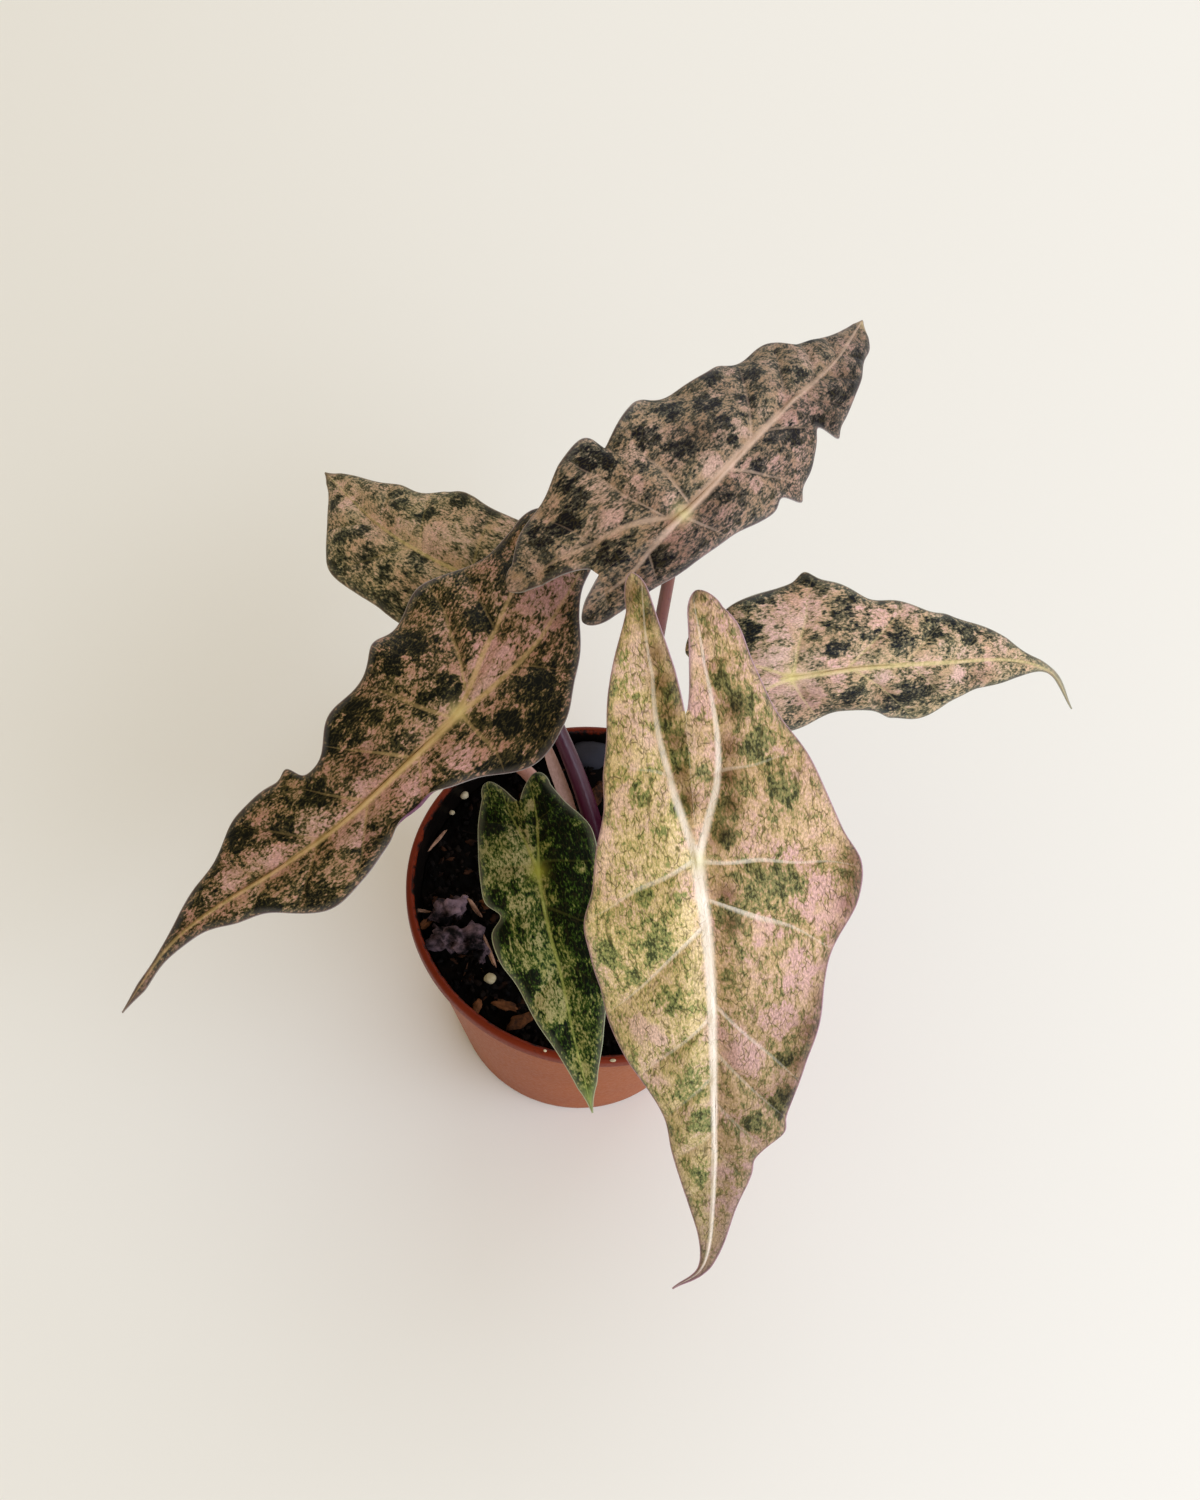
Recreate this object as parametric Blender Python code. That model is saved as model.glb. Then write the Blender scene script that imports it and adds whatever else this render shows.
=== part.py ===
"""A potted alocasia: six mottled arrow-shaped blades on tapered petioles, rising from a rooted corm
in a soil-filled nursery pot.

Metres, +Z up, with -Y at the front. The origin is the centre of the pot's base, on the surface that
the pot stands on. Blade and petiole sizes are written in millimetres and multiplied by MM.
"""
import math
from collections import namedtuple

import bpy
import numpy as np
from mathutils import Vector, noise

MM = 0.001
GAP = 0.3 * MM  # clearance between pieces that touch

# The pot: a 12 cm tapered nursery pot
POT_HEIGHT = 90 * MM
RIM_RADIUS = 60 * MM
BASE_RADIUS = 42 * MM
WALL = 1.4 * MM
LIP_WIDTH = 2.6 * MM  # of the rim, seen from above
LIP_HEIGHT = 5 * MM
LIP_STEP = 1 * MM  # how far the lip stands out of the wall
FLOOR_TOP = 4 * MM
CHANNEL_DEPTH = 2.4 * MM  # of the ring under the floor that the drain holes open into
CHANNEL_INNER = 14 * MM
CHANNEL_OUTER = 34 * MM
DRAIN_HOLES = 6
DRAIN_RADIUS = 3.5 * MM
POT_SIDES = 48

# The soil
SOIL_TOP = 80 * MM
SOIL_RINGS = 10
SOIL_ROUGHNESS = 1.3 * MM
# Lumps that stand out of the soil: x, y, radius and height in millimetres
SOIL_LUMPS_MM = (
    (-45, -15, 5, 4),
    (-43, -25, 5, 4),
    (-36, -25, 5, 5),
    (-9, 47, 8, 5),
    (-28, -35, 3, 3),
    (-16, -45, 4, 2),
    (-4, 35, 4, 3),
    (24, -30, 6, 3),
    (33, 18, 7, 4),
    (-22, 36, 5, 3),
    (-30, -4, 4, 2),
    (41, -12, 5, 3),
)

# The corm, whose top stands just out of the soil
CORM_CENTRE = Vector((0, 10 * MM, 0))
CORM_TOP = 86 * MM
CORM_RADIUS = 13 * MM
CORM_BOTTOM = 52 * MM
ROOTS = 5
ROOT_RADIUS = 2.2 * MM
ROOT_REACH = 24 * MM
ROOT_DROP = 28 * MM

# Petioles
SOCKET_RING = 7.5 * MM  # radius of the ring on the corm that the petioles stand on
SOCKET_DEPTH = 4 * MM
PETIOLE_SIDES = 8
PETIOLE_STEPS = 16

# Blades
BLADE_THICKNESS = 0.8 * MM
RIB_HEIGHT = 1.1 * MM  # of the midrib under the blade, at the junction
RIB_HALF_WIDTH = 1.6  # millimetres
RIB_FADE = 12  # millimetres behind the junction where the midrib ends and the lobes' ribs begin
LOBE_RIB = 0.8  # depth of a lobe's rib as a share of the midrib's
VEIN_RIB = 0.55  # the same of a side vein
VEIN_SLANT = 0.9  # how far a side vein runs towards the tip for each millimetre outwards
VEIN_TURN = 60  # millimetres ahead of the junction over which the side veins come to that slant
VEIN_TIP = 12  # millimetres from the tip over which they lose it again
VEIN_PHASES = (0, 0.18, 0.5, 0.82)  # rows from one side vein to the next
QUILT = 1.0  # millimetres that the blade swells between side veins
MARGIN_FROM = 0.5  # share of the half-width where the margin starts to bend
TIP_ROWS = 4
LOBE_ROWS = 6
OUTER_COLUMNS = 4
SPINE_STEPS = 240

LEFT, RIGHT = -1, 1  # of a blade seen from above, with its tip ahead

# One blade, in millimetres and degrees.
#   spine: points of the midline from the tip back to the ends of the lobes
#   junction: number of the spine point that stands on the petiole
#   facing: azimuth and elevation of the upper face, from tip to lobes; azimuth 0 is the front
#   dips: how far the left and the right half hang below the midline
#   station: step along the midline between the half-widths in left and right, which start at the tip
#   cleft: distance from the tip to the cleft between the lobes
#   lobes: left and right, how far the lobe's tip is from the midline and from the blade's tip, and how
#     the cleft's edge runs there, 1 for straight and less for a cleft that opens at once
#   veins: distance between side veins
#   ruffle: degrees that the margin bends up and down
#   curls: side, distance from the tip, reach and degrees of each place where the margin rolls up
#   nicks: side, distance from the tip, reach and height of each point or notch of the margin
Blade = namedtuple(
    "Blade", "name spine junction facing dips station left right cleft lobes veins ruffle curls nicks"
)

BLADES = (
    Blade(
        name="blade_front",
        spine=(
            (39, -125, 101), (46, -119, 110), (44, -106, 133), (38, -88, 164),
            (31, -68, 191), (24, -52, 209), (14, -19, 229), (4, 10, 244),
        ),
        junction=5,
        facing=((7, 60), (4, 52), (4, 50), (4, 50)),
        dips=(5, 20),
        station=10,
        left=(1, 2, 4, 6, 9, 12, 18, 22, 24, 27, 29, 32, 38, 40, 37, 33, 29, 23, 19, 14, 8),
        right=(1, 1, 3, 6, 9, 12, 14, 18, 24, 29, 30, 31, 32, 29, 26, 23, 23, 21, 19, 16, 12),
        cleft=172,
        lobes=((4, 202, 0.6), (6, 209, 1.3)),
        veins=21,
        ruffle=14,
        curls=(),
        nicks=(),
    ),
    Blade(
        name="blade_top",
        spine=(
            (54, 157, 196), (45, 124, 210), (32, 94, 220), (20, 68, 225),
            (7, 44, 224), (-7, 32, 216), (-22, 22, 204), (-31, 20, 193),
        ),
        junction=4,
        facing=((0, 78), (0, 70), (0, 58)),
        dips=(10, 30),
        station=10,
        left=(1, 3, 6, 12, 14, 19, 21, 23, 24, 28, 32, 32, 31, 31, 34, 31, 27, 22, 16),
        right=(2, 7, 8, 10, 12, 16, 17, 14, 18, 22, 20, 18, 15, 13, 13, 13, 12),
        cleft=156,
        lobes=((9, 184, 0.4), (5, 168, 1)),
        veins=19,
        ruffle=22,
        curls=((RIGHT, 64, 6, 80), (RIGHT, 97, 6, 80)),
        nicks=(),
    ),
    Blade(
        name="blade_left",
        spine=(
            (-129, -74, 104), (-118, -60, 121), (-106, -52, 134), (-88, -43, 149), (-71, -33, 164),
            (-57, -21, 177), (-44, -6, 187), (-35, 17, 191), (-28, 44, 192), (-19, 73, 189),
        ),
        junction=6,
        facing=((-10, 60), (-10, 60)),
        dips=(5, 10),
        station=10,
        left=(1, 2, 2, 3, 4, 7, 9, 15, 18, 16, 13, 11, 12, 16, 25, 26, 23, 20, 15, 12, 11),
        right=(1, 1, 1, 3, 7, 11, 18, 20, 21, 18, 18, 25, 27, 29, 31, 31, 31, 30, 24, 18, 15),
        cleft=188,
        lobes=((5, 212, 1), (7, 212, 1)),
        veins=20,
        ruffle=20,
        curls=((LEFT, 118, 12, 110),),
        nicks=((RIGHT, 93, 2.5, 4),),
    ),
    Blade(
        name="blade_right",
        spine=(
            (138, 62, 140), (127, 64, 154), (111, 58, 165), (88, 44, 177),
            (66, 33, 184), (45, 24, 186), (31, 20, 184), (15, 19, 178),
        ),
        junction=5,
        facing=((15, 62), (10, 62)),
        dips=(5, 35),
        station=10,
        left=(1, 2, 2, 3, 7, 11, 14, 15, 19, 20, 25, 27, 25, 23, 19),
        right=(1, 1, 1, 5, 9, 11, 13, 19, 18, 14, 14, 16, 17, 16, 13),
        cleft=132,
        lobes=((8, 147, 0.8), (8, 147, 0.8)),
        veins=17,
        ruffle=20,
        curls=(),
        nicks=(),
    ),
    Blade(
        name="blade_back",
        spine=((-107, 99, 150), (-84, 71, 165), (-67, 57, 172), (-52, 49, 175), (-37, 42, 175), (-22, 37, 172)),
        junction=3,
        facing=((0, 66), (0, 66)),
        dips=(10, 10),
        station=10,
        left=(1, 4, 10, 17, 21, 21, 21, 22, 22, 20, 15),
        right=(1, 6, 10, 14, 16, 20, 23, 23, 23, 22, 17),
        cleft=98,
        lobes=((8, 111, 0.8), (8, 111, 0.8)),
        veins=17,
        ruffle=14,
        curls=(),
        nicks=((RIGHT, 47, 5, 2),),
    ),
    Blade(
        name="blade_small",
        spine=(
            (10, -80, 103), (1, -63, 116), (-6, -48, 126), (-11, -39, 132),
            (-17, -24, 138), (-22, -13, 141), (-31, 8, 141),
        ),
        junction=4,
        facing=((0, 62), (-5, 62)),
        dips=(5, 5),
        station=10,
        left=(1, 4, 8, 11, 14, 16, 18, 18, 18, 13, 9),
        right=(1, 3, 6, 10, 13, 16, 17, 17, 16, 14, 10),
        cleft=94,
        lobes=((4, 102, 1), (5, 104, 0.8)),
        veins=14,
        ruffle=10,
        curls=(),
        nicks=((RIGHT, 61, 3, -4),),
    ),
)

# One petiole: the blade that it carries, where it stands on the corm as an azimuth from +X, the point in
# millimetres that it leaves the corm towards, how far below the blade it turns square to it, and its radii
# in millimetres at the corm and at the blade.
Petiole = namedtuple("Petiole", "name blade azimuth towards reach radii")
PETIOLES = (
    Petiole("petiole_front", "blade_front", 300, (12, -8, 150), 40, (2.6, 1.7)),
    Petiole("petiole_top", "blade_top", 44, (6, 21, 140), 12, (2.5, 1.5)),
    Petiole("petiole_left", "blade_left", 180, (-16, 12, 140), 30, (2.6, 1.7)),
    Petiole("petiole_right", "blade_right", 350, (16, 14, 130), 26, (2.4, 1.6)),
    Petiole("petiole_back", "blade_back", 97, (-13, 31, 127), 20, (3.3, 1.5)),
    Petiole("petiole_small", "blade_small", 240, (-9, 4, 106), 18, (2.0, 1.2)),
)

# The old sheath that stands beside the back petiole, in millimetres
SHEATH_PATH_MM = ((-8, 16.7, 86.3), (-13, 23, 98), (-19, 28, 111), (-25, 31, 128))
SHEATH_WIDTHS = (4.2, 4.4, 4.0, 1.6)
SHEATH_THICKNESS = 1.0
SHEATH_HOLLOW = 0.9

TERRACOTTA = (0.40, 0.13, 0.06)
SOIL_BROWN = (0.02, 0.014, 0.01)
CORM_BROWN = (0.16, 0.09, 0.05)
SHEATH_TAN = (0.42, 0.26, 0.20)
PETIOLE_PLUM = (0.16, 0.03, 0.07)
BLADE_COLOURS = {
    "blade_front": (0.50, 0.33, 0.24),
    "blade_top": (0.26, 0.19, 0.16),
    "blade_left": (0.22, 0.14, 0.12),
    "blade_right": (0.34, 0.25, 0.20),
    "blade_back": (0.28, 0.26, 0.17),
    "blade_small": (0.08, 0.14, 0.03),
}


def make_material(name, colour, roughness):
    """A plain material of one colour."""
    material = bpy.data.materials.new(name)
    material.use_nodes = True
    shader = material.node_tree.nodes["Principled BSDF"]
    shader.inputs["Base Color"].default_value = (*colour, 1)
    shader.inputs["Roughness"].default_value = roughness
    shader.inputs["Metallic"].default_value = 0
    return material


def make_object(name, vertices, faces, material=None):
    """A mesh object, shaded smooth but for its sharp edges."""
    mesh = bpy.data.meshes.new(name)
    mesh.from_pydata([tuple(map(float, v)) for v in vertices], [], faces)
    mesh.validate()
    mesh.shade_smooth()
    mesh.set_sharp_from_angle(angle=math.radians(40))
    piece = bpy.data.objects.new(name, mesh)
    if material:
        mesh.materials.append(material)
    bpy.context.scene.collection.objects.link(piece)
    return piece


def boolean(target, pieces, operation):
    """Joins the pieces to the target or cuts them from it, and removes them."""
    group = bpy.data.collections.new("operands")
    for piece in pieces:
        group.objects.link(piece)
    modifier = target.modifiers.new(operation.lower(), "BOOLEAN")
    modifier.operation = operation
    modifier.operand_type = "COLLECTION"
    modifier.collection = group
    modifier.solver = "EXACT"
    evaluated = target.evaluated_get(bpy.context.evaluated_depsgraph_get())
    result = bpy.data.meshes.new_from_object(evaluated)
    target.modifiers.clear()
    target.data = result
    for piece in pieces:
        bpy.data.objects.remove(piece)
    bpy.data.collections.remove(group)


def smooth(values, x):
    """Catmull-Rom curve through the values, which lie at x = 0, 1, 2 and so on, one row for each x."""
    p = np.array(values, float).reshape(len(values), -1)
    p = np.vstack([2 * p[0] - p[1], p, 2 * p[-1] - p[-2]])
    x = np.clip(np.asarray(x, float), 0, len(values) - 1)
    i = np.minimum(x.astype(int), len(values) - 2)
    f = (x - i)[..., None]
    a, b, c, d = p[i], p[i + 1], p[i + 2], p[i + 3]
    return 0.5 * (2 * b + (c - a) * f + (2 * a - 5 * b + 4 * c - d) * f**2 + (3 * b - a - 3 * c + d) * f**3)


def tube(path, radii, sides):
    """Vertices and faces of a closed tube with flat ends along a path of points."""
    path = np.asarray(path, float)
    ahead = np.gradient(path, axis=0)
    ahead /= np.linalg.norm(ahead, axis=1, keepdims=True)
    across = np.cross(ahead[0], (0, 1, 0.01))
    vertices = []
    for point, direction, radius in zip(path, ahead, radii):
        across = across - direction * (across @ direction)
        across /= np.linalg.norm(across)
        other = np.cross(direction, across)
        for k in range(sides):
            turn = 2 * math.pi * k / sides
            vertices.append(point + radius * (across * math.cos(turn) + other * math.sin(turn)))
    faces = []
    for ring in range(len(path) - 1):
        for k in range(sides):
            a = ring * sides + k
            b = ring * sides + (k + 1) % sides
            faces.append((a, b, b + sides, a + sides))
    faces.append(tuple(reversed(range(sides))))
    faces.append(tuple(range((len(path) - 1) * sides, len(path) * sides)))
    return vertices, faces


def wall_radius(z):
    """Outer radius of the pot's wall at a height, without the lip."""
    return BASE_RADIUS + (RIM_RADIUS - LIP_STEP - BASE_RADIUS) * z / POT_HEIGHT


def inner_radius(z):
    return wall_radius(z) - WALL


def pot_profile():
    """Half section from the floor's centre up the inside, over the lip and down the outside to the axis."""
    edge = 0.5 * MM
    lip_base = POT_HEIGHT - LIP_HEIGHT
    lip_inner = RIM_RADIUS - LIP_WIDTH
    return [
        (0, FLOOR_TOP),
        (inner_radius(FLOOR_TOP), FLOOR_TOP),
        (inner_radius(lip_base), lip_base),
        (lip_inner, POT_HEIGHT - 2 * edge),
        (lip_inner + edge, POT_HEIGHT - edge / 3),
        (lip_inner + LIP_WIDTH / 2, POT_HEIGHT),
        (RIM_RADIUS - edge, POT_HEIGHT - edge / 3),
        (RIM_RADIUS, POT_HEIGHT - 2 * edge),
        (RIM_RADIUS - edge / 2, lip_base + edge),
        (wall_radius(lip_base), lip_base),
        (wall_radius(3 * edge), 3 * edge),
        (BASE_RADIUS - edge, 0),
        (CHANNEL_OUTER + edge, 0),
        (CHANNEL_OUTER, CHANNEL_DEPTH),
        (CHANNEL_INNER, CHANNEL_DEPTH),
        (CHANNEL_INNER - edge, 0),
        (0, 0),
    ]


def build_pot(material):
    """The turned pot, with its drain holes cut through the floor."""
    profile = pot_profile()
    edges = [(i, i + 1) for i in range(len(profile) - 1)]
    mesh = bpy.data.meshes.new("pot")
    mesh.from_pydata([(r, 0, z) for r, z in profile], edges, [])
    mesh.materials.append(material)
    pot = bpy.data.objects.new("pot", mesh)
    bpy.context.scene.collection.objects.link(pot)
    screw = pot.modifiers.new("turn", "SCREW")
    screw.steps = POT_SIDES
    screw.render_steps = POT_SIDES
    screw.use_merge_vertices = True
    screw.merge_threshold = 0.01 * MM
    screw.use_normal_calculate = False
    drains = []
    ring = (CHANNEL_INNER + CHANNEL_OUTER) / 2
    for k in range(DRAIN_HOLES):
        turn = 2 * math.pi * (k + 0.5) / DRAIN_HOLES
        x, y = ring * math.cos(turn), ring * math.sin(turn)
        ends = [(x, y, 0), (x, y, 2 * FLOOR_TOP)]
        drains.append(make_object(f"drain_{k}", *tube(ends, [DRAIN_RADIUS] * 2, 12)))
    boolean(pot, drains, "DIFFERENCE")
    pot.data.shade_smooth()
    pot.data.set_sharp_from_angle(angle=math.radians(40))
    return pot


def soil_height(x, y):
    """Height of the soil's surface: fine unevenness, lumps and a rise round the corm."""
    z = SOIL_TOP + SOIL_ROUGHNESS * noise.noise(Vector((x, y, 0)) / (7 * MM))
    z += SOIL_ROUGHNESS * noise.noise(Vector((x, y, 1)) / (20 * MM))
    for cx, cy, radius, height in SOIL_LUMPS_MM:
        away = math.hypot(x - cx * MM, y - cy * MM) / (radius * MM)
        z += height * MM * max(0, 1 - away**2) ** 1.5
    near = math.hypot(x - CORM_CENTRE.x, y - CORM_CENTRE.y) / (2.2 * CORM_RADIUS)
    return z + 2 * MM * max(0, 1 - near) ** 2


def soil_body(material):
    """The soil as it fills the pot, before the corm's hole is made."""
    vertices = []
    bottom = FLOOR_TOP + GAP
    for k in range(POT_SIDES):
        turn = 2 * math.pi * k / POT_SIDES
        r = inner_radius(bottom) - GAP
        vertices.append((r * math.cos(turn), r * math.sin(turn), bottom))
    for ring in range(SOIL_RINGS):
        share = 1 - ring / SOIL_RINGS
        for k in range(POT_SIDES):
            turn = 2 * math.pi * k / POT_SIDES
            r = (inner_radius(SOIL_TOP) - GAP) * share
            x, y = r * math.cos(turn), r * math.sin(turn)
            z = soil_height(x, y) if ring else SOIL_TOP
            vertices.append((x, y, z))
    vertices.append((0, 0, soil_height(0, 0)))
    faces = [tuple(reversed(range(POT_SIDES)))]
    for ring in range(SOIL_RINGS):
        for k in range(POT_SIDES):
            a = ring * POT_SIDES + k
            b = ring * POT_SIDES + (k + 1) % POT_SIDES
            if ring == 0:
                faces.append((a, b, b + POT_SIDES, a + POT_SIDES))
            else:
                faces.append((a, b, b + POT_SIDES))
                faces.append((a, b + POT_SIDES, a + POT_SIDES))
    last = SOIL_RINGS * POT_SIDES
    for k in range(POT_SIDES):
        faces.append((last + k, last + (k + 1) % POT_SIDES, len(vertices) - 1))
    return make_object("soil", vertices, faces, material)


def corm_body(name, grow, material=None):
    """The corm with its stout roots, made larger all round by grow."""
    height = CORM_TOP - CORM_BOTTOM
    levels = ((0, 0.35), (0.08, 0.7), (0.3, 0.98), (0.6, 1), (0.9, 0.93), (1, 0.9))
    path = [CORM_CENTRE + Vector((0, 0, CORM_BOTTOM + share * height)) for share, _ in levels]
    path[0].z -= grow
    path[-1].z += grow
    radii = [CORM_RADIUS * share + grow for _, share in levels]
    corm = make_object(name, *tube(path, radii, 20), material)
    roots = []
    for k in range(ROOTS):
        turn = 2 * math.pi * (k + 0.3) / ROOTS
        out = Vector((math.cos(turn), math.sin(turn), 0))
        start = CORM_CENTRE + out * CORM_RADIUS * 0.4 + Vector((0, 0, CORM_BOTTOM + 0.35 * height))
        middle = start + out * ROOT_REACH * 0.7 - Vector((0, 0, ROOT_DROP * 0.3))
        end = start + out * ROOT_REACH - Vector((0, 0, ROOT_DROP))
        line = smooth([start, middle, end], np.linspace(0, 2, 7))
        line[-1, 2] -= grow
        radii = [ROOT_RADIUS * (1 - 0.6 * i / 6) + grow for i in range(7)]
        roots.append(make_object(f"{name}_root_{k}", *tube(line, radii, 8)))
    boolean(corm, roots, "UNION")
    return corm


class Form:
    """The shape of one blade in millimetres: u runs out from the midline, s back from the tip."""

    def __init__(self, blade):
        self.blade = blade
        steps = np.linspace(0, 1, SPINE_STEPS + 1)
        self.path = smooth(blade.spine, steps * (len(blade.spine) - 1))
        runs = np.linalg.norm(np.diff(self.path, axis=0), axis=1)
        self.run = np.concatenate([[0], np.cumsum(runs)])
        self.junction = self.run[round(blade.junction / (len(blade.spine) - 1) * SPINE_STEPS)]
        ahead = -np.gradient(self.path, self.run, axis=0)
        ahead /= np.linalg.norm(ahead, axis=1, keepdims=True)
        faces = [facing_vector(*angles) for angles in blade.facing]
        across = np.cross(ahead, smooth(faces, steps * (len(faces) - 1)))
        self.across = across / np.linalg.norm(across, axis=1, keepdims=True)
        self.up = np.cross(self.across, ahead)

    def along(self, rows, s):
        return np.stack([np.interp(s, self.run, rows[:, k]) for k in range(3)], axis=-1)

    def outer(self, side, s):
        """Half-width of one side, which rounds off at its lobe's tip."""
        blade = self.blade
        widths = blade.left if side == LEFT else blade.right
        lobe_u, lobe_s, _ = blade.lobes[side == RIGHT]
        last_s = min((len(widths) - 1) * blade.station, lobe_s - 5)
        width = smooth(widths, np.minimum(s, last_s) / blade.station)[..., 0]
        for nick_side, place, reach, height in blade.nicks:
            if nick_side == side:
                width = width + height * np.exp(-(((s - place) / reach) ** 2))
        past = np.clip((s - last_s) / (lobe_s - last_s), 0, 1)
        return lobe_u + (width - lobe_u) * np.sqrt(1 - past**2)

    def inner(self, side, s):
        """Distance of the cleft's edge from the midline, 0 ahead of the cleft."""
        lobe_u, lobe_s, power = self.blade.lobes[side == RIGHT]
        back = np.clip((s - self.blade.cleft) / (lobe_s - self.blade.cleft), 0, 1)
        return lobe_u * back**power

    def costa(self, side, s):
        """Distance of the lobe's main vein from the midline, 0 ahead of the junction."""
        lobe_u, lobe_s, _ = self.blade.lobes[side == RIGHT]
        back = np.clip((s - self.junction) / (lobe_s - self.junction), 0, 1)
        return (lobe_u + 3) * np.sin(back * math.pi / 2)

    def margin_bend(self, side, s):
        """Angle in radians that the margin has bent upwards at its edge."""
        blade = self.blade
        wave = np.sin(2 * math.pi * s / (1.7 * blade.veins) + side)
        bend = blade.ruffle * wave * np.clip(s / 40, 0, 1)
        for curl_side, place, reach, degrees in blade.curls:
            if curl_side == side:
                bend = bend + degrees * np.exp(-(((s - place) / reach) ** 2))
        return np.radians(bend)

    def slant(self, s):
        """How far the side vein that leaves the midline at s runs forwards for each millimetre outwards."""
        turned = np.clip((self.junction - s) / VEIN_TURN, 0, 1)
        return VEIN_SLANT * turned * np.clip(s / VEIN_TIP, 0, 1)

    def vein_start(self, u, s):
        """Where the line along the side veins through a point leaves the midline."""
        start = s
        for _ in range(12):
            start = (start + s + self.slant(start) * u) / 2
        return start

    def swell(self, side, u, s):
        """Height that the blade swells to between its side veins."""
        vein = np.abs(np.sin(math.pi * (self.vein_start(u, s) - self.junction) / self.blade.veins))
        half = np.maximum(self.outer(side, s), 1)
        level = np.clip(half / 15, 0, 1) * np.clip(u / 6, 0, 1) * (1 - np.clip(u / half, 0, 1) ** 3)
        return QUILT * vein * level

    def surface(self, side, u, s):
        """Points of the blade's middle surface in millimetres."""
        dip = math.radians(self.blade.dips[side == RIGHT])
        out = side * self.along(self.across, s)
        up = self.along(self.up, s)
        away = out * math.cos(dip) - up * math.sin(dip)
        lift = up * math.cos(dip) + out * math.sin(dip)
        half = np.maximum(self.outer(side, s), 1)
        start = MARGIN_FROM * half
        length = half - start
        bend = self.margin_bend(side, s)
        bend = np.where(np.abs(bend) < 0.001, 0.001, bend)
        past = np.maximum(u - start, 0) / length
        reach = np.minimum(u, start) + length / bend * np.sin(bend * past)
        height = length / bend * (1 - np.cos(bend * past)) + self.swell(side, u, s)
        return self.along(self.path, s) + away * reach[..., None] + lift * height[..., None]


def facing_vector(azimuth, elevation):
    a, e = math.radians(azimuth), math.radians(elevation)
    return np.array([math.sin(a) * math.cos(e), -math.cos(a) * math.cos(e), math.sin(e)])


def front_rows(form):
    """Where rows leave the midline ahead of the cleft: along each side vein and between them."""
    blade = form.blade
    ahead = math.floor((form.junction - VEIN_TIP) / blade.veins)
    first = form.junction - ahead * blade.veins
    rows = [first * (k / TIP_ROWS) ** 1.2 for k in range(TIP_ROWS)]
    vein = 0
    while first + vein * blade.veins < blade.cleft:
        rows += [first + (vein + phase) * blade.veins for phase in VEIN_PHASES]
        vein += 1
    return [row for row in rows if row < blade.cleft - 2] + [blade.cleft]


def half_grid(form, side):
    """Middle surface of one half, rows by columns, and how deep the ribs stand under each point."""
    blade = form.blade
    lobe_s = blade.lobes[side == RIGHT][1]
    behind = np.sin(np.linspace(0, 1, LOBE_ROWS + 1)[1:] * math.pi / 2 * 0.93)
    start = np.concatenate([front_rows(form), blade.cleft + (lobe_s - blade.cleft) * behind])
    end = start
    for _ in range(20):
        end = (end + start - form.slant(start) * form.outer(side, end)) / 2
    inner, outer = form.inner(side, start), form.outer(side, end)
    width = outer - inner
    costa = np.minimum(np.maximum(RIB_HALF_WIDTH, form.costa(side, start)), inner + width * 0.45)
    costa = np.where(start > blade.cleft, np.maximum(costa, inner + width * 0.2), costa)
    shares = np.linspace(0, 1, OUTER_COLUMNS + 1)
    u = np.stack([inner] + [costa + (outer - costa) * share for share in shares], axis=1)
    s = start[:, None] - form.slant(start)[:, None] * u
    return form.surface(side, u, s), rib_depths(form, start, lobe_s, shares)


def rib_depths(form, start, lobe_s, shares):
    """Depths of the ribs under each row, as shares of the midrib's: midrib, lobe's rib and side veins."""
    back = start - form.junction
    ahead = back <= 0
    midrib = np.where(ahead, start / form.junction, np.clip(1 - back / RIB_FADE, 0, 1))
    lobe = np.clip(1 - back / (lobe_s - form.junction), 0, 1) * np.clip(back / RIB_FADE, 0, 1)
    phase = back / form.blade.veins
    on_vein = (np.abs(phase - np.round(phase)) < 0.01) & (start > VEIN_TIP) & (start < form.blade.cleft)
    veins = VEIN_RIB * on_vein[:, None] * (1 - shares)[None, :] ** 0.6
    veins[:, 0] = np.where(ahead, veins[:, 0], np.maximum(veins[:, 0], LOBE_RIB * lobe))
    veins[np.abs(back) < 1, 0] = 0  # the petiole's end needs this place
    return np.concatenate([midrib[:, None], veins], axis=1)


def build_blade(blade, material):
    """A blade as one thin body: the same triangles above and below, with the ribs raised underneath."""
    form = Form(blade)
    points, ribs, triangles = [], [], []
    shared = []
    joined = len(front_rows(form))
    for side in (LEFT, RIGHT):
        grid, rib = half_grid(form, side)
        rows, columns = rib.shape
        number = np.zeros((rows, columns), int)
        for r in range(rows):
            for c in range(columns):
                if side == RIGHT and c == 0 and r < joined:
                    number[r, c] = shared[r]
                    continue
                number[r, c] = len(points)
                points.append(grid[r, c])
                ribs.append(rib[r, c])
        shared = number[:, 0]
        for r in range(rows - 1):
            for c in range(columns - 1):
                a, b = number[r, c], number[r, c + 1]
                d, e = number[r + 1, c], number[r + 1, c + 1]
                pair = [(a, d, e), (a, e, b)] if side == RIGHT else [(a, e, d), (a, b, e)]
                triangles.extend(pair)
    return thick_sheet(blade.name, np.array(points) * MM, np.array(ribs) * RIB_HEIGHT, triangles, material)


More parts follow.
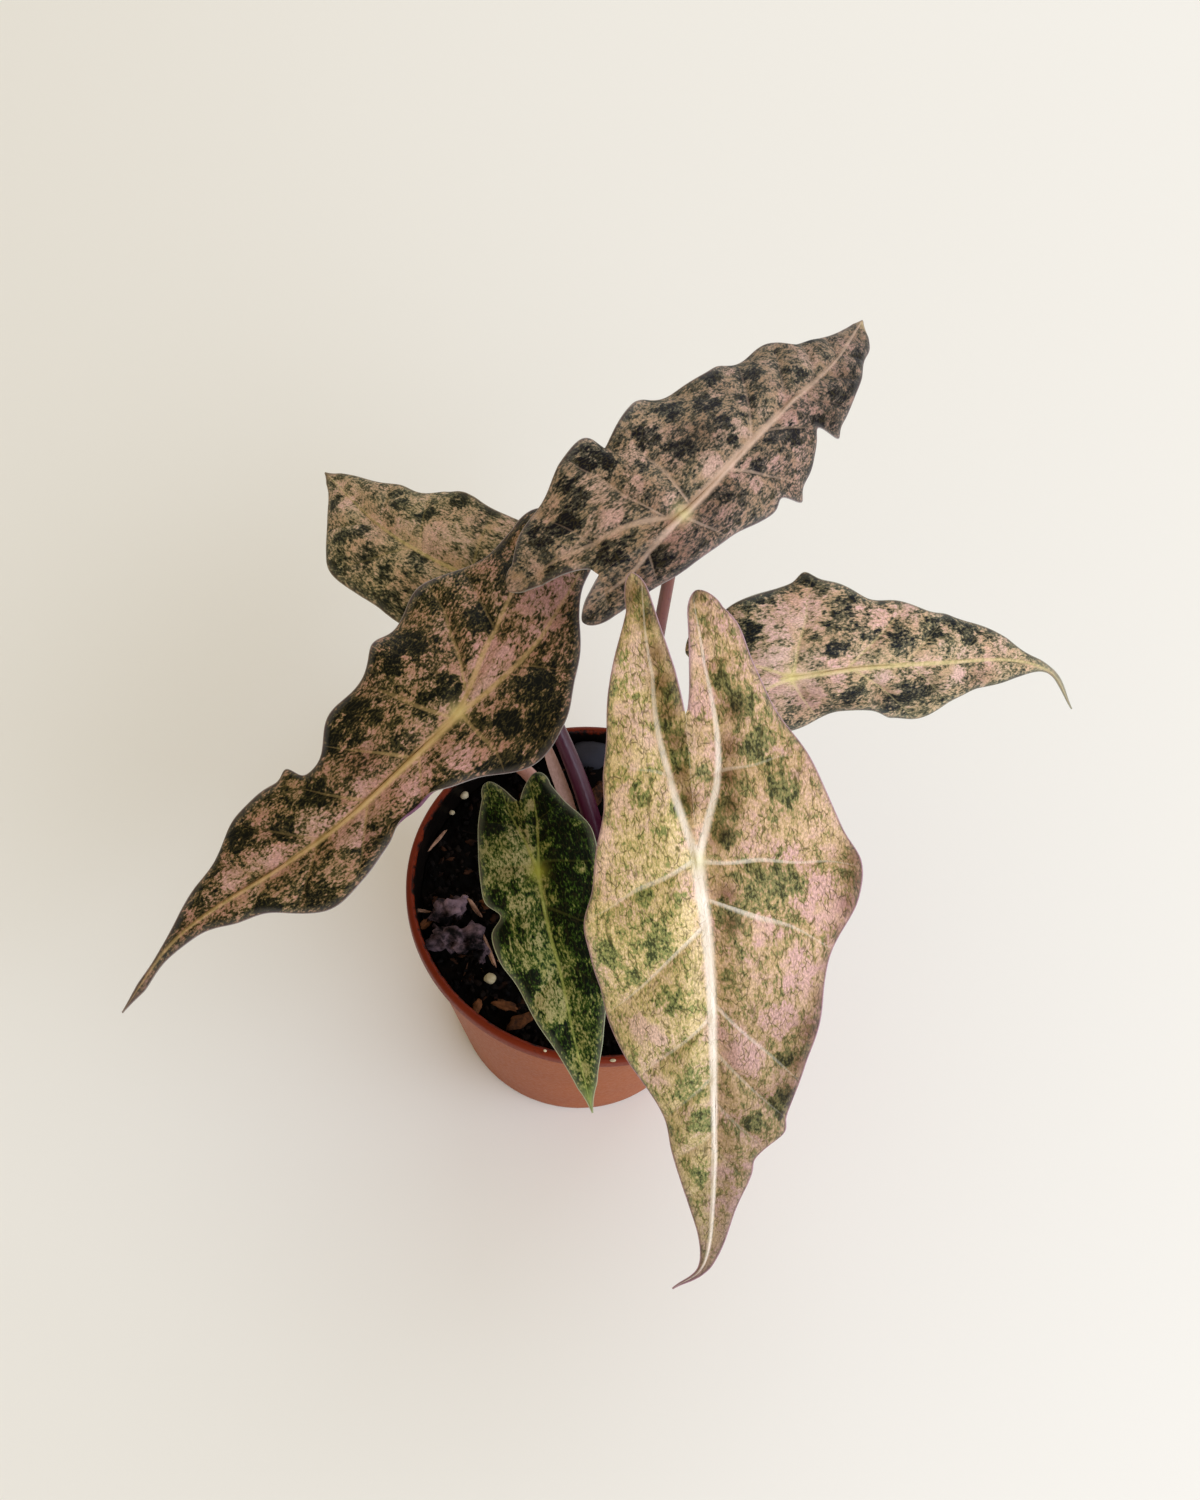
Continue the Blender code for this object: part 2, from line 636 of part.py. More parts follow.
def thick_sheet(name, points, ribs, triangles, material):
    """Gives the middle surface its thickness and closes it round its edge."""
    t = np.array(triangles)
    face = np.cross(points[t[:, 1]] - points[t[:, 0]], points[t[:, 2]] - points[t[:, 0]])
    normals = np.zeros(points.shape)
    for k in range(3):
        np.add.at(normals, t[:, k], face)
    normals /= np.linalg.norm(normals, axis=1, keepdims=True)
    above = points + normals * BLADE_THICKNESS / 2
    below = points - normals * (BLADE_THICKNESS / 2 + ribs[:, None])
    count = len(points)
    faces = [tuple(map(int, f)) for f in t]
    faces += [(int(c) + count, int(b) + count, int(a) + count) for a, b, c in t]
    directed = {(int(a), int(b)) for f in t for a, b in ((f[0], f[1]), (f[1], f[2]), (f[2], f[0]))}
    for a, b in sorted(directed):
        if (b, a) not in directed:
            faces.append((b, a, a + count))
            faces.append((b, a + count, b + count))
    return make_object(name, np.vstack([above, below]), faces, material)


def petiole_line(petiole):
    """Points from the corm to just under the blade, in metres."""
    form = Form(next(b for b in BLADES if b.name == petiole.blade))
    turn = math.radians(petiole.azimuth)
    ring = Vector((math.cos(turn), math.sin(turn), 0)) * SOCKET_RING
    foot = np.array(CORM_CENTRE + ring + Vector((0, 0, CORM_TOP - SOCKET_DEPTH)))
    up = form.along(form.up, form.junction)
    top = form.along(form.path, form.junction) * MM
    end = top - up * (BLADE_THICKNESS / 2 + RIB_HEIGHT + GAP)
    bend_low = np.array(petiole.towards) * MM
    bend_high = end - up * petiole.reach * MM
    t = np.linspace(0, 1, PETIOLE_STEPS + 1)[:, None]
    return (
        (1 - t) ** 3 * foot + 3 * t * (1 - t) ** 2 * bend_low + 3 * t**2 * (1 - t) * bend_high + t**3 * end
    )


def petiole_radii(petiole, grow=0.0):
    low, high = petiole.radii
    return [(low + (high - low) * (i / PETIOLE_STEPS) ** 0.8) * MM + grow for i in range(PETIOLE_STEPS + 1)]


def build_petiole(petiole, material):
    return make_object(
        petiole.name, *tube(petiole_line(petiole), petiole_radii(petiole), PETIOLE_SIDES), material
    )


def socket_cutter(petiole):
    """A petiole's foot made larger all round, which leaves its hole in the corm."""
    line = petiole_line(petiole)[:4]
    line[0] -= (line[1] - line[0]) / np.linalg.norm(line[1] - line[0]) * GAP
    return make_object(f"{petiole.name}_cutter", *tube(line, petiole_radii(petiole, GAP)[:4], PETIOLE_SIDES))


def build_sheath(material):
    """The old leaf sheath: a narrow strip, hollow towards the petiole."""
    path = smooth(SHEATH_PATH_MM, np.linspace(0, len(SHEATH_PATH_MM) - 1, 10))
    widths = smooth(SHEATH_WIDTHS, np.linspace(0, len(SHEATH_WIDTHS) - 1, 10))[:, 0]
    inward = np.array((0.55, -0.83, 0.0))
    across = np.array((0.83, 0.55, 0.0))
    section = [(-1, 0), (-0.5, -1), (0, -1.3), (0.5, -1), (1, 0)]
    vertices = []
    for point, width in zip(path, widths):
        for share, depth in section:
            at = point + across * share * width / 2 + inward * depth * SHEATH_HOLLOW
            vertices.append((at + inward * SHEATH_THICKNESS / 2) * MM)
        for share, depth in reversed(section):
            at = point + across * share * width / 2 + inward * depth * SHEATH_HOLLOW
            vertices.append((at - inward * SHEATH_THICKNESS / 2) * MM)
    ring = 2 * len(section)
    faces = [tuple(reversed(range(ring)))]
    for row in range(len(path) - 1):
        for k in range(ring):
            a, b = row * ring + k, row * ring + (k + 1) % ring
            faces.append((a, b, b + ring, a + ring))
    faces.append(tuple(range((len(path) - 1) * ring, len(path) * ring)))
    return make_object("old_sheath", vertices, faces, material)


def build_plant():
    for existing in list(bpy.data.objects):
        bpy.data.objects.remove(existing)
    build_pot(make_material("pot", TERRACOTTA, 0.45))
    soil = soil_body(make_material("soil", SOIL_BROWN, 0.95))
    boolean(soil, [corm_body("corm_hole", GAP)], "DIFFERENCE")
    corm = corm_body("corm", 0, make_material("corm", CORM_BROWN, 0.8))
    boolean(corm, [socket_cutter(petiole) for petiole in PETIOLES], "DIFFERENCE")
    build_sheath(make_material("sheath", SHEATH_TAN, 0.6))
    plum = make_material("petiole", PETIOLE_PLUM, 0.45)
    for petiole in PETIOLES:
        build_petiole(petiole, plum)
    for blade in BLADES:
        build_blade(blade, make_material(blade.name, BLADE_COLOURS[blade.name], 0.5))


build_plant()
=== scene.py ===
"""The potted alocasia, dressed: mottled blades with veins, streaked petioles, a moulded pot and potting mix.

Metres, +Z up, with -Y at the front. Blade numbers are the CAD's own, in millimetres.
"""

import math
from collections import namedtuple
from functools import partial

import bmesh
import bpy
import numpy as np
from mathutils import Matrix, Vector, noise


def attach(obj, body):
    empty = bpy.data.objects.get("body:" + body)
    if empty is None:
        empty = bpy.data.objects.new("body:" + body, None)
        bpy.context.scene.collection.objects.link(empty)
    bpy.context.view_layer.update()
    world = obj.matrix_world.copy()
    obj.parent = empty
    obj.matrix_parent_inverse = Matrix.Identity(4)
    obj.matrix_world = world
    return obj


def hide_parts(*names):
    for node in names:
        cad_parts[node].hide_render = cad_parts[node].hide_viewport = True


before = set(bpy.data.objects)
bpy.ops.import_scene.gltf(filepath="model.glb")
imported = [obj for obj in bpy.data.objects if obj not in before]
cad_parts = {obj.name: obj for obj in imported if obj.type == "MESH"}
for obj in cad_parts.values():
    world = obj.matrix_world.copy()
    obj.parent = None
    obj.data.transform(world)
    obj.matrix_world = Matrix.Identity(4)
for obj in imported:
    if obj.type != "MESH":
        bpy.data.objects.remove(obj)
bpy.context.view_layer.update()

MM = 0.001

# The pot, soil and corm, with the CAD's sizes
POT_HEIGHT = 90 * MM
RIM_RADIUS = 60 * MM
BASE_RADIUS = 42 * MM
WALL = 1.4 * MM
LIP_WIDTH = 2.6 * MM
LIP_HEIGHT = 5 * MM
LIP_STEP = 1 * MM
FLOOR_TOP = 4 * MM
CHANNEL = (13.5 * MM, 34.5 * MM)  # radii of the ring channel under the floor
CHANNEL_DEPTH = 2.4 * MM
DRAIN_HOLES = 6
DRAIN_RADIUS = 3.5 * MM
DRAIN_RING = 24 * MM  # radius of the ring that the drain holes stand on
SOIL_TOP = 80 * MM
SOIL_LUMPS_MM = (  # to the right, to the back, radius and height
    (-45, -15, 5, 4), (-43, -25, 5, 4), (-36, -25, 5, 5), (-9, 47, 8, 5), (-28, -35, 3, 3), (-16, -45, 4, 2),
    (-4, 35, 4, 3), (24, -30, 6, 3), (33, 18, 7, 4), (-22, 36, 5, 3), (-30, -4, 4, 2), (41, -12, 5, 3),
)
CORM_CENTRE = Vector((0, 10 * MM, 0))
CORM_TOP = 86 * MM
CORM_RADIUS = 13 * MM
CORM_BOTTOM = 52 * MM
SOCKET_RING = 7.5 * MM
SOCKET_DEPTH = 4 * MM

# Blades, as in the CAD but thinner, with a finer grid
BLADE_THICKNESS = 0.8 * MM
RIB_HEIGHT = 1.1 * MM
SHEET = 0.5  # millimetres that the real blade is thick
QUILT = 2.0  # millimetres that a blade swells between its side veins
VALLEY = 2.4  # millimetres that the ribs lie below the blade's halves
VALLEY_WIDTH = 3.5  # millimetres over which the halves rise beside a rib
VEIN_BOW = 0.004  # how side veins bend forwards on their way out
MARGIN_FROM = 0.5  # share of a half's width where its margin starts to bend
CURL_FROM = 0.36  # how much nearer the edge a curl starts
STATION = 10  # millimetres between the half-widths
LOBE_ROUND = 3  # millimetres that a lobe's tip rounds off on both sides
SPINE_STEPS = 480
ROW_STEP = 0.65  # millimetres between rows
COLUMNS = 42  # in each half
PETIOLE_STEPS, PETIOLE_SIDES = ((90, 28))
POT_SIDES = 192
SOIL_RINGS, SOIL_SIDES = ((120, 320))
CRUMBS = 110000.0  # on a square metre of soil

LEFT, RIGHT = -1, 1

# One blade, in millimetres and degrees.
#   spine: points of the midline from the tip back to the ends of the lobes
#   junction: number of the spine point that stands on the petiole
#   facing: azimuth and elevation of the upper face, from tip to lobes; azimuth 0 is the front
#   dips: how far the left and the right half hang below the midline
#   left, right: half-widths along the midline, from the tip back
#   cleft: distance from the tip to the cleft between the lobes
#   lobes: left and right, how far the lobe's tip is from the midline and from the blade's tip, and how
#     the cleft's edge runs there, 1 for straight and less for a cleft that opens at once
#   veins: distance between side veins
#   ruffle: degrees that the margin bends up and down
#   nicks: side, distance from the tip, reach and height of each point or notch of the margin
#   bold: how wide the ribs are
#   curls: side, distance from the tip, reach and degrees of each place where the margin rolls up
Blade = namedtuple(
    "Blade", "name spine junction facing dips left right cleft lobes veins ruffle nicks bold curls",
    defaults=(0.9, ()),
)

BLADES = (
    Blade(
        name="blade_front",
        spine=(
            (39, -125, 101), (46, -119, 110), (44, -106, 133), (38, -88, 164),
            (31, -68, 191), (24, -52, 209), (14, -19, 229), (4, 10, 244),
        ),
        junction=5,
        facing=((7, 60), (4, 52), (4, 50), (4, 50)),
        dips=(5, 20),
        left=(1, 2, 4, 6, 9, 12, 18, 22, 24, 27, 29, 32, 38, 40, 37, 33, 29, 23, 19, 14, 8),
        right=(1, 1, 3, 6, 9, 12, 14, 18, 24, 29, 30, 31, 32, 29, 26, 23, 23, 21, 19, 16, 12),
        cleft=172,
        lobes=((4, 202, 0.6), (6, 209, 1.3)),
        veins=21,
        ruffle=14,
        nicks=((LEFT, 194, 8, 3), (LEFT, 57, 3, 2), (LEFT, 49, 3, -1)),
        bold=1.25,
    ),
    Blade(
        name="blade_top",
        spine=(
            (54, 157, 196), (45, 124, 210), (32, 94, 220), (20, 68, 225),
            (7, 44, 224), (-7, 32, 216), (-22, 22, 204), (-31, 20, 193),
        ),
        junction=4,
        facing=((0, 78), (0, 70), (0, 58)),
        dips=(10, 30),
        left=(1, 3, 6, 12, 14, 19, 21, 23, 24, 28, 32, 32, 31, 31, 34, 31, 27, 22, 16),
        right=(2, 7, 8, 10, 12, 16, 17, 14, 18, 22, 20, 18, 15, 13, 13, 13, 12),
        cleft=156,
        lobes=((9, 184, 0.4), (5, 168, 1)),
        veins=19,
        ruffle=22,
        nicks=((RIGHT, 58, 4, 1.2), (RIGHT, 67, 3.5, -3), (RIGHT, 80, 6, 2), (RIGHT, 90, 4, 1.4),
               (RIGHT, 99, 3.5, -2.5)),
        bold=1.15,
    ),
    Blade(
        name="blade_left",
        spine=(
            (-129, -74, 104), (-118, -60, 121), (-106, -52, 134), (-88, -43, 149), (-71, -33, 164),
            (-57, -21, 177), (-44, -6, 187), (-35, 17, 191), (-28, 44, 192), (-19, 73, 189),
        ),
        junction=6,
        facing=((-10, 60), (-10, 60)),
        dips=(5, 10),
        left=(1, 2, 2, 3, 4, 7, 9, 15, 18, 16, 13, 11, 12, 16, 25, 26, 23, 20, 15, 12, 11),
        right=(1, 1, 1, 3, 7, 11, 18, 20, 21, 18, 18, 25, 27, 29, 31, 31, 31, 30, 24, 18, 15),
        cleft=188,
        lobes=((5, 212, 1), (7, 212, 1)),
        veins=20,
        ruffle=20,
        nicks=((RIGHT, 86, 3, 4), (LEFT, 113, 9, 1.2)),
        bold=1.1,
        curls=((LEFT, 113, 9, 170),),
    ),
    Blade(
        name="blade_right",
        spine=(
            (138, 62, 140), (127, 64, 154), (111, 58, 165), (88, 44, 177),
            (66, 33, 184), (45, 24, 186), (31, 20, 184), (15, 19, 178),
        ),
        junction=5,
        facing=((15, 62), (10, 62)),
        dips=(5, 35),
        left=(1, 2, 2, 3, 7, 11, 14, 15, 19, 20, 25, 27, 25, 23, 19),
        right=(1, 1, 1, 5, 9, 11, 13, 19, 18, 14, 14, 16, 17, 16, 13),
        cleft=132,
        lobes=((8, 147, 0.8), (8, 147, 0.8)),
        veins=17,
        ruffle=20,
        nicks=((LEFT, 107, 2.5, 2.5),),
    ),
    Blade(
        name="blade_back",
        spine=(
            (-107, 99, 150), (-84, 71, 165), (-67, 57, 172),
            (-52, 49, 175), (-37, 42, 175), (-22, 37, 172),
        ),
        junction=3,
        facing=((0, 66), (0, 66)),
        dips=(10, 10),
        left=(1, 4, 10, 17, 21, 21, 21, 22, 22, 20, 15),
        right=(1, 6, 10, 14, 16, 20, 23, 23, 23, 22, 17),
        cleft=98,
        lobes=((8, 111, 0.8), (8, 111, 0.8)),
        veins=17,
        ruffle=14,
        nicks=((RIGHT, 47, 5, 2),),
    ),
    Blade(
        name="blade_small",
        spine=(
            (10, -80, 103), (1, -63, 116), (-6, -48, 126), (-11, -39, 132),
            (-17, -24, 138), (-22, -13, 141), (-31, 8, 141),
        ),
        junction=4,
        facing=((0, 62), (-5, 62)),
        dips=(5, 5),
        left=(1, 4, 8, 11, 14, 16, 18, 18, 18, 13, 9),
        right=(1, 3, 6, 10, 13, 16, 17, 17, 16, 14, 10),
        cleft=94,
        lobes=((4, 102, 1), (5, 104, 0.8)),
        veins=14,
        ruffle=10,
        nicks=((RIGHT, 61, 3, -4),),
    ),
)

# One petiole: the blade that it carries, where it stands on the corm as an azimuth from +X, the point in
# millimetres that it leaves the corm towards, how far below the blade it turns square to it, and its radii
# in millimetres and its colours at the corm and at the blade.
Petiole = namedtuple("Petiole", "name blade azimuth towards reach radii colours")
PETIOLES = (
    Petiole("petiole_front", "blade_front", 300, (12, -8, 150), 40, (2.6, 1.7), ("#5B2340", "#A07A66")),
    Petiole("petiole_top", "blade_top", 44, (6, 21, 140), 12, (2.5, 1.5), ("#5E2640", "#7A4C3E")),
    Petiole("petiole_left", "blade_left", 180, (-16, 12, 140), 30, (2.6, 1.7), ("#B48474", "#94604F")),
    Petiole("petiole_right", "blade_right", 350, (16, 14, 130), 26, (2.4, 1.6), ("#5B2340", "#9A7462")),
    Petiole("petiole_back", "blade_back", 97, (-13, 31, 127), 20, (3.3, 1.5), ("#440E28", "#532338")),
    Petiole("petiole_small", "blade_small", 240, (-9, 4, 106), 18, (2.0, 1.2), ("#5B2340", "#7F8A4C")),
)

# How each blade is dressed.
#   left_veins, right_veins: where each side vein leaves the midline or the lobe's rib, as the distance from
#     the tip, and how far it runs towards the tip for each millimetre outwards
#   left_rib, right_rib: how far the lobe's rib lies from the midline, every 10 mm behind the junction
#   dark, pale and brown patches: across (left is negative), distance from the tip and radius of each one
# the brown patches are partly brown tissue and partly painted shade on folded strips and down-bent margins
Dress = namedtuple("Dress", "left_veins right_veins left_rib right_rib dark pale brown")

DRESSES = {
    "blade_front": Dress(
        left_veins=(
            (24, 1.0), (38, 1.0), (52, 1.1), (67, 1.1), (83, 1.1), (97, 1.05), (126, 0.42), (135, 0.0),
            (157, -0.22), (184, -0.3),
        ),
        right_veins=(
            (26, 1.0), (42, 1.0), (58, 1.0), (75, 1.0), (93, 0.9), (119, 0.9), (136, 0.36), (157, -0.4),
            (183, -0.4),
        ),
        left_rib=(0, 3.2, 6.4, 7.1, 6.6, 6, 5.6),
        right_rib=(0, 2.4, 4.9, 6.4, 7, 7, 6.8, 6.4),
        dark=(
            (-10, 178, 3), (-7, 143, 4), (-20, 130, 4), (-6, 122, 5), (-12, 124, 5), (-18, 127, 5),
            (11, 99, 4), (6, 72, 5), (3, 62, 4), (4, 43, 3), (-10, 62, 3), (-18, 81, 3), (26, 110, 4),
            (-14, 174, 4), (14, 153, 3), (2, 178, 3), (3, 168, 3), (2, 161, 3), (3, 150, 3), (-3, 157, 2),
            (-17, 163, 4), (-18, 67, 5), (12, 115, 5), (-13, 130, 4), (-8, 147, 4), (-23, 126, 3),
            (-4, 104, 3), (20, 104, 3), (15, 128, 3), (-22, 152, 4),
        ),
        pale=(
            (9, 186, 6), (13, 172, 6), (17, 153, 4), (-28, 122, 6), (-14, 117, 4), (19, 90, 3), (16, 76, 4),
            (-16, 92, 5), (-8, 81, 5), (-5, 86, 5), (-31, 118, 5), (-5, 188, 6), (-2, 43, 4), (-22, 104, 6),
            (25, 140, 6), (12, 165, 5), (-11, 196, 4), (-4, 175, 4), (14, 88, 3), (-6, 36, 4),
        ),
        # Here painted shade in the strips beside the ribs and along the down-bent left margin
        brown=(
            (4, 173, 4), (3, 166, 4), (2, 158, 3), (1, 151, 3), (5, 180, 4), (5, 188, 3.5), (6, 197, 3),
            (-9, 149, 3), (-9, 156, 3), (-10, 163, 3), (-12, 172, 3), (-7, 142, 3), (-39, 131, 4),
            (-38, 125, 4), (-36, 119, 4), (-34, 112, 4), (-31, 104, 4), (-28, 96, 4), (-25, 88, 5),
            (-22, 79, 5), (-19, 70, 5), (-6, 127, 3), (-6, 119, 3), (9, 204, 4), (-7, 204, 4),
        ),
    ),
    "blade_top": Dress(
        left_veins=(
            (14, 1.0), (32, 1.2), (52, 1.35), (72, 1.4), (93, 1.35), (124, 0.15), (131, -0.62), (152, -0.6),
            (172, -0.6),
        ),
        right_veins=(
            (14, 1.0), (30, 1.2), (48, 1.4), (66, 1.5), (86, 1.6), (108, 1.0), (128, 0.4), (142, -0.3),
            (158, -0.3),
        ),
        left_rib=(0, 4.6, 7.2, 8.8, 10.6, 10.4, 9.8),
        right_rib=(0, 1.6, 4.2, 5, 5),
        dark=(
            (-25, 136, 4), (-28, 140, 4), (-20, 149, 3), (-17, 156, 4), (-18, 163, 4), (-23, 101, 4),
            (-21, 81, 3), (-4, 98, 2), (4, 84, 4), (7, 80, 4), (3, 87, 3), (10, 66, 3), (-4, 56, 3),
            (9, 40, 4), (6, 23, 4), (3, 115, 3), (6, 100, 3), (-22, 114, 4), (-3, 150, 4), (-9, 81, 3),
            (-12, 111, 4), (-14, 69, 4), (8, 50, 4), (6, 141, 4), (-6, 166, 4), (-10, 30, 3), (-17, 92, 4),
            (-9, 96, 3), (-26, 150, 3),
        ),
        pale=(
            (-8, 45, 5), (-4, 110, 4), (-5, 93, 3), (-18, 143, 4), (-20, 72, 3), (-8, 84, 3), (3, 76, 3),
            (-8, 160, 4), (10, 92, 3), (9, 104, 3), (-22, 122, 4), (3, 106, 3), (-10, 172, 4), (-26, 158, 5),
            (-10, 146, 5), (-12, 180, 5), (-14, 134, 4),
        ),
        brown=((6, 120, 7), (8, 134, 7), (8, 148, 6), (8, 40, 6), (11, 60, 6), (-10, 104, 6)),
    ),
    "blade_left": Dress(
        left_veins=(
            (28, 1.0), (46, 1.0), (64, 1.1), (84, 1.1), (104, 1.0), (123, 0.7), (139, 0.1), (159, -0.5),
            (179, -0.6),
        ),
        right_veins=(
            (28, 1.0), (46, 1.0), (65, 1.1), (85, 1.1), (104, 1.0), (121, 0.8), (137, 0.45), (144, -1.2),
            (166, -1.0), (188, -0.8),
        ),
        left_rib=(0, 3.3, 5.6, 7.7, 8.4, 9, 8.4, 7.4),
        right_rib=(0, 2, 3.8, 4.6, 5, 5.3, 5.2, 5),
        dark=(
            (13, 64, 5), (8, 78, 4), (-12, 78, 5), (10, 92, 5), (18, 117, 6), (23, 150, 6), (9, 167, 5),
            (-14, 156, 6), (-19, 150, 6), (6, 143, 4), (23, 138, 5), (-13, 144, 4), (7, 186, 5), (8, 134, 4),
            (-20, 135, 6), (20, 105, 4), (-8, 62, 4),
        ),
        pale=(
            (5, 87, 5), (-5, 116, 6), (5, 55, 4), (2, 106, 5), (-1, 148, 5), (-4, 183, 9), (0, 157, 7),
            (2, 70, 4), (-3, 96, 6), (-9, 130, 4), (-6, 170, 5),
        ),
        brown=((0, 12, 8), (0, 30, 7), (-10, 100, 6), (8, 110, 5)),
    ),
    "blade_right": Dress(
        left_veins=((20, 1.0), (40, 1.1), (60, 1.2), (80, 1.2), (100, 1.3), (116, 0.3), (132, -0.4)),
        right_veins=((18, 1.0), (38, 1.1), (58, 1.2), (78, 1.3), (98, 1.4), (117, 0.5), (132, -0.3)),
        left_rib=(0, 4.5, 7, 8),
        right_rib=(0, 2.6, 5, 7),
        dark=(
            (-24, 124, 5), (-27, 106, 3), (-17, 98, 4), (-13, 101, 4), (-6, 103, 3), (-9, 92, 3), (-7, 82, 4),
            (7, 97, 4), (8, 76, 5), (12, 82, 4), (-14, 130, 5), (-18, 140, 5), (-10, 70, 4), (-8, 55, 4),
            (-12, 62, 3),
        ),
        pale=(
            (-18, 112, 6), (-14, 118, 5), (-6, 122, 5), (3, 120, 7), (-14, 88, 4), (-18, 95, 2), (2, 104, 4),
            (5, 112, 5), (-16, 78, 4), (4, 60, 3), (3, 88, 3),
        ),
        brown=((8, 112, 6), (12, 100, 6), (10, 86, 5), (8, 70, 5), (6, 50, 5), (10, 128, 5)),
    ),
    "blade_back": Dress(
        left_veins=((18, 1.0), (37, 1.0), (57, 0.9), (79, 0.2), (96, -0.4)),
        right_veins=((22, 1.0), (41, 1.0), (61, 0.8), (80, 0.2), (95, -0.4)),
        left_rib=(0, 4, 6, 7),
        right_rib=(0, 4, 6, 7),
        dark=(
            (9, 41, 3), (11, 54, 3), (-6, 37, 4), (-11, 34, 3), (-10, 46, 4), (-12, 57, 4), (-17, 40, 4),
            (-2, 62, 3), (6, 80, 3), (-4, 17, 3), (11, 35, 3), (19, 61, 3), (-18, 62, 5),
        ),
        pale=((6, 66, 7), (19, 83, 4), (-2, 20, 3), (3, 50, 4)),
        brown=((-10, 90, 6), (10, 96, 6)),
    ),
    "blade_small": Dress(
        left_veins=((16, 0.9), (31, 0.9), (46, 0.9), (62, 0.7), (74, 0.1), (87, -0.4)),
        right_veins=((13, 0.9), (27, 0.9), (43, 0.8), (60, 0.0), (73, -0.3), (88, -0.4)),
        left_rib=(0, 2.4, 4, 4.4),
        right_rib=(0, 1.6, 3.6, 4.2),
        dark=(
            (-9, 66, 7), (-8, 84, 7), (-9, 50, 6), (-12, 58, 7), (-12, 76, 7), (-6, 72, 5), (-10, 92, 6),
            (-8, 38, 5), (-4, 58, 4), (10, 90, 5), (14, 57, 4), (9, 42, 4), (3, 24, 4), (13, 66, 3),
        ),
        pale=(
            (11, 81, 6), (11, 71, 5), (5, 75, 5), (8, 50, 5), (4, 34, 5), (3, 82, 4), (-3, 92, 2),
            (-14, 76, 2), (-12, 71, 2), (7, 60, 4), (-3, 84, 2),
        ),
        brown=(),
    ),
}

# How each blade's upper face looks.
#   warm, pink, yellow, green, dark: ground, its blush, and the mottling from thin to thick
#   vein, glow, margin, tip: the ribs, the spot over the petiole, the edge's tone, partly painted sheen, and
#       the first tail millimetres
#   cover: how much of it the mottling covers; patchy: how much that changes from place to place
#   blotch, fine: how blotchy and how speckled it is; soft: how softly its colours meet
#   lean: how much greener the right half is, and how much lighter as painted light, the left half darker
#   rib, side: how clearly the ribs and side veins stand out; brim: how much darker the margin grows
#   net: how dark the lines of the fine vein net are; torn, tan: how clearly the pale and the brown patches
#       show, the brown partly painted shade
#   fall: how light the blade still is at its tip; seed: which part of the endless patterns it shows
Look = namedtuple(
    "Look", "warm pink yellow green dark vein glow margin tip tail "
    "cover patchy blotch fine soft lean rib side brim net torn tan fall seed")


def make_look(colours, *amounts):
    return Look(*colours.split(), *amounts)


LOOKS = {
    "blade_front": make_look(
        "#E0C49C #E2BCB0 #B4A062 #858A56 #3F442A #FFF4E6 #E6E0B4 #B898A4 #6A4A48",
        12, 0.37, 0.9, 1.4, 1.6, 1.7, 0.9, 1.0, 0.6, 0.08, 0.7, 0.2, 0.8, 0.4, 1),
    "blade_top": make_look(
        "#A98A72 #C4A096 #807260 #41413A #141218 #D2B49E #CCC088 #A19D98 #C0A87C",
        5, 0.55, 0.8, 1.8, 1.9, 1.7, -0.35, 0.85, 0.6, 0.1, 0.4, 0.25, 0.5, 0.72, 2),
    "blade_left": make_look(
        "#AE8472 #BE958C #826C44 #353519 #080A04 #C4A670 #CDB878 #A49E9A #5E4A3C",
        10, 0.57, 1.1, 1.7, 2.3, 1.5, 0.0, 0.85, 0.5, 0.22, 0.3, 0.22, 0.5, 1.0, 3),
    "blade_right": make_look(
        "#C8A68A #D4B0A6 #9C8D69 #525240 #14181C #D8C68C #D8CA84 #A2A694 #A79F80",
        24, 0.48, 0.9, 1.7, 2.0, 1.6, 0.0, 0.75, 0.5, 0.2, 0.4, 0.22, 0.5, 1.0, 4),
    "blade_back": make_look(
        "#C6A98E #D4B4A8 #9C9070 #525440 #181D16 #D8C688 #D8C688 #A39E8C #6A5A40",
        5, 0.50, 1.0, 1.7, 2.0, 1.4, 0.0, 0.65, 0.4, 0.15, 0.4, 0.22, 0.5, 1.0, 5),
    "blade_small": make_look(
        "#9C9B5E #AAA474 #586828 #22400A #051001 #B4BA60 #B8BC50 #B6BF9C #8DA050",
        8, 0.62, 0.6, 1.6, 2.4, 1.0, 0.0, 0.8, 0.15, 0.1, 0.2, 0.22, 0.5, 1.0, 6),
}

# The old sheath, as in the CAD
SHEATH_PATH_MM = ((-8, 16.7, 86.3), (-13, 23, 98), (-19, 28, 111), (-25, 31, 128))
SHEATH_WIDTHS = (4.2, 4.4, 4.0, 1.6)
SHEATH_HOLLOW = 0.9


def linear(code):
    """Linear RGBA of an sRGB hex colour."""
    parts = [int(code[i:i + 2], 16) / 255 for i in (1, 3, 5)]
    return [c / 12.92 if c <= 0.04045 else ((c + 0.055) / 1.055) ** 2.4 for c in parts] + [1.0]


# The kinds of node in the materials and in the strewing: Blender's name, settings, and inputs that get values
Kind = namedtuple("Kind", "node settings inputs")
MATH = Kind("ShaderNodeMath", {}, range(3))
SIZE, PLUS, TIMES, TIMES_PLUS, MOST = (
    Kind("ShaderNodeMath", {"operation": name}, range(3))
    for name in ("ABSOLUTE", "ADD", "MULTIPLY", "MULTIPLY_ADD", "MAXIMUM"))
STRETCH, STRETCH_PLUS, LENGTH = (
    Kind("ShaderNodeVectorMath", {"operation": name}, range(3))
    for name in ("MULTIPLY", "MULTIPLY_ADD", "LENGTH"))
SCALED = Kind("ShaderNodeVectorMath", {"operation": "SCALE"}, (0, "Scale"))
SPLIT = Kind("ShaderNodeSeparateXYZ", {}, (0,))
JOIN = Kind("ShaderNodeCombineXYZ", {}, range(3))
RANGE = Kind("ShaderNodeMapRange", {}, range(5))
EASE = Kind("ShaderNodeMapRange", {"interpolation_type": "SMOOTHSTEP"}, range(5))
MIX = Kind("ShaderNodeMix", {"data_type": "RGBA"}, (0, 6, 7))
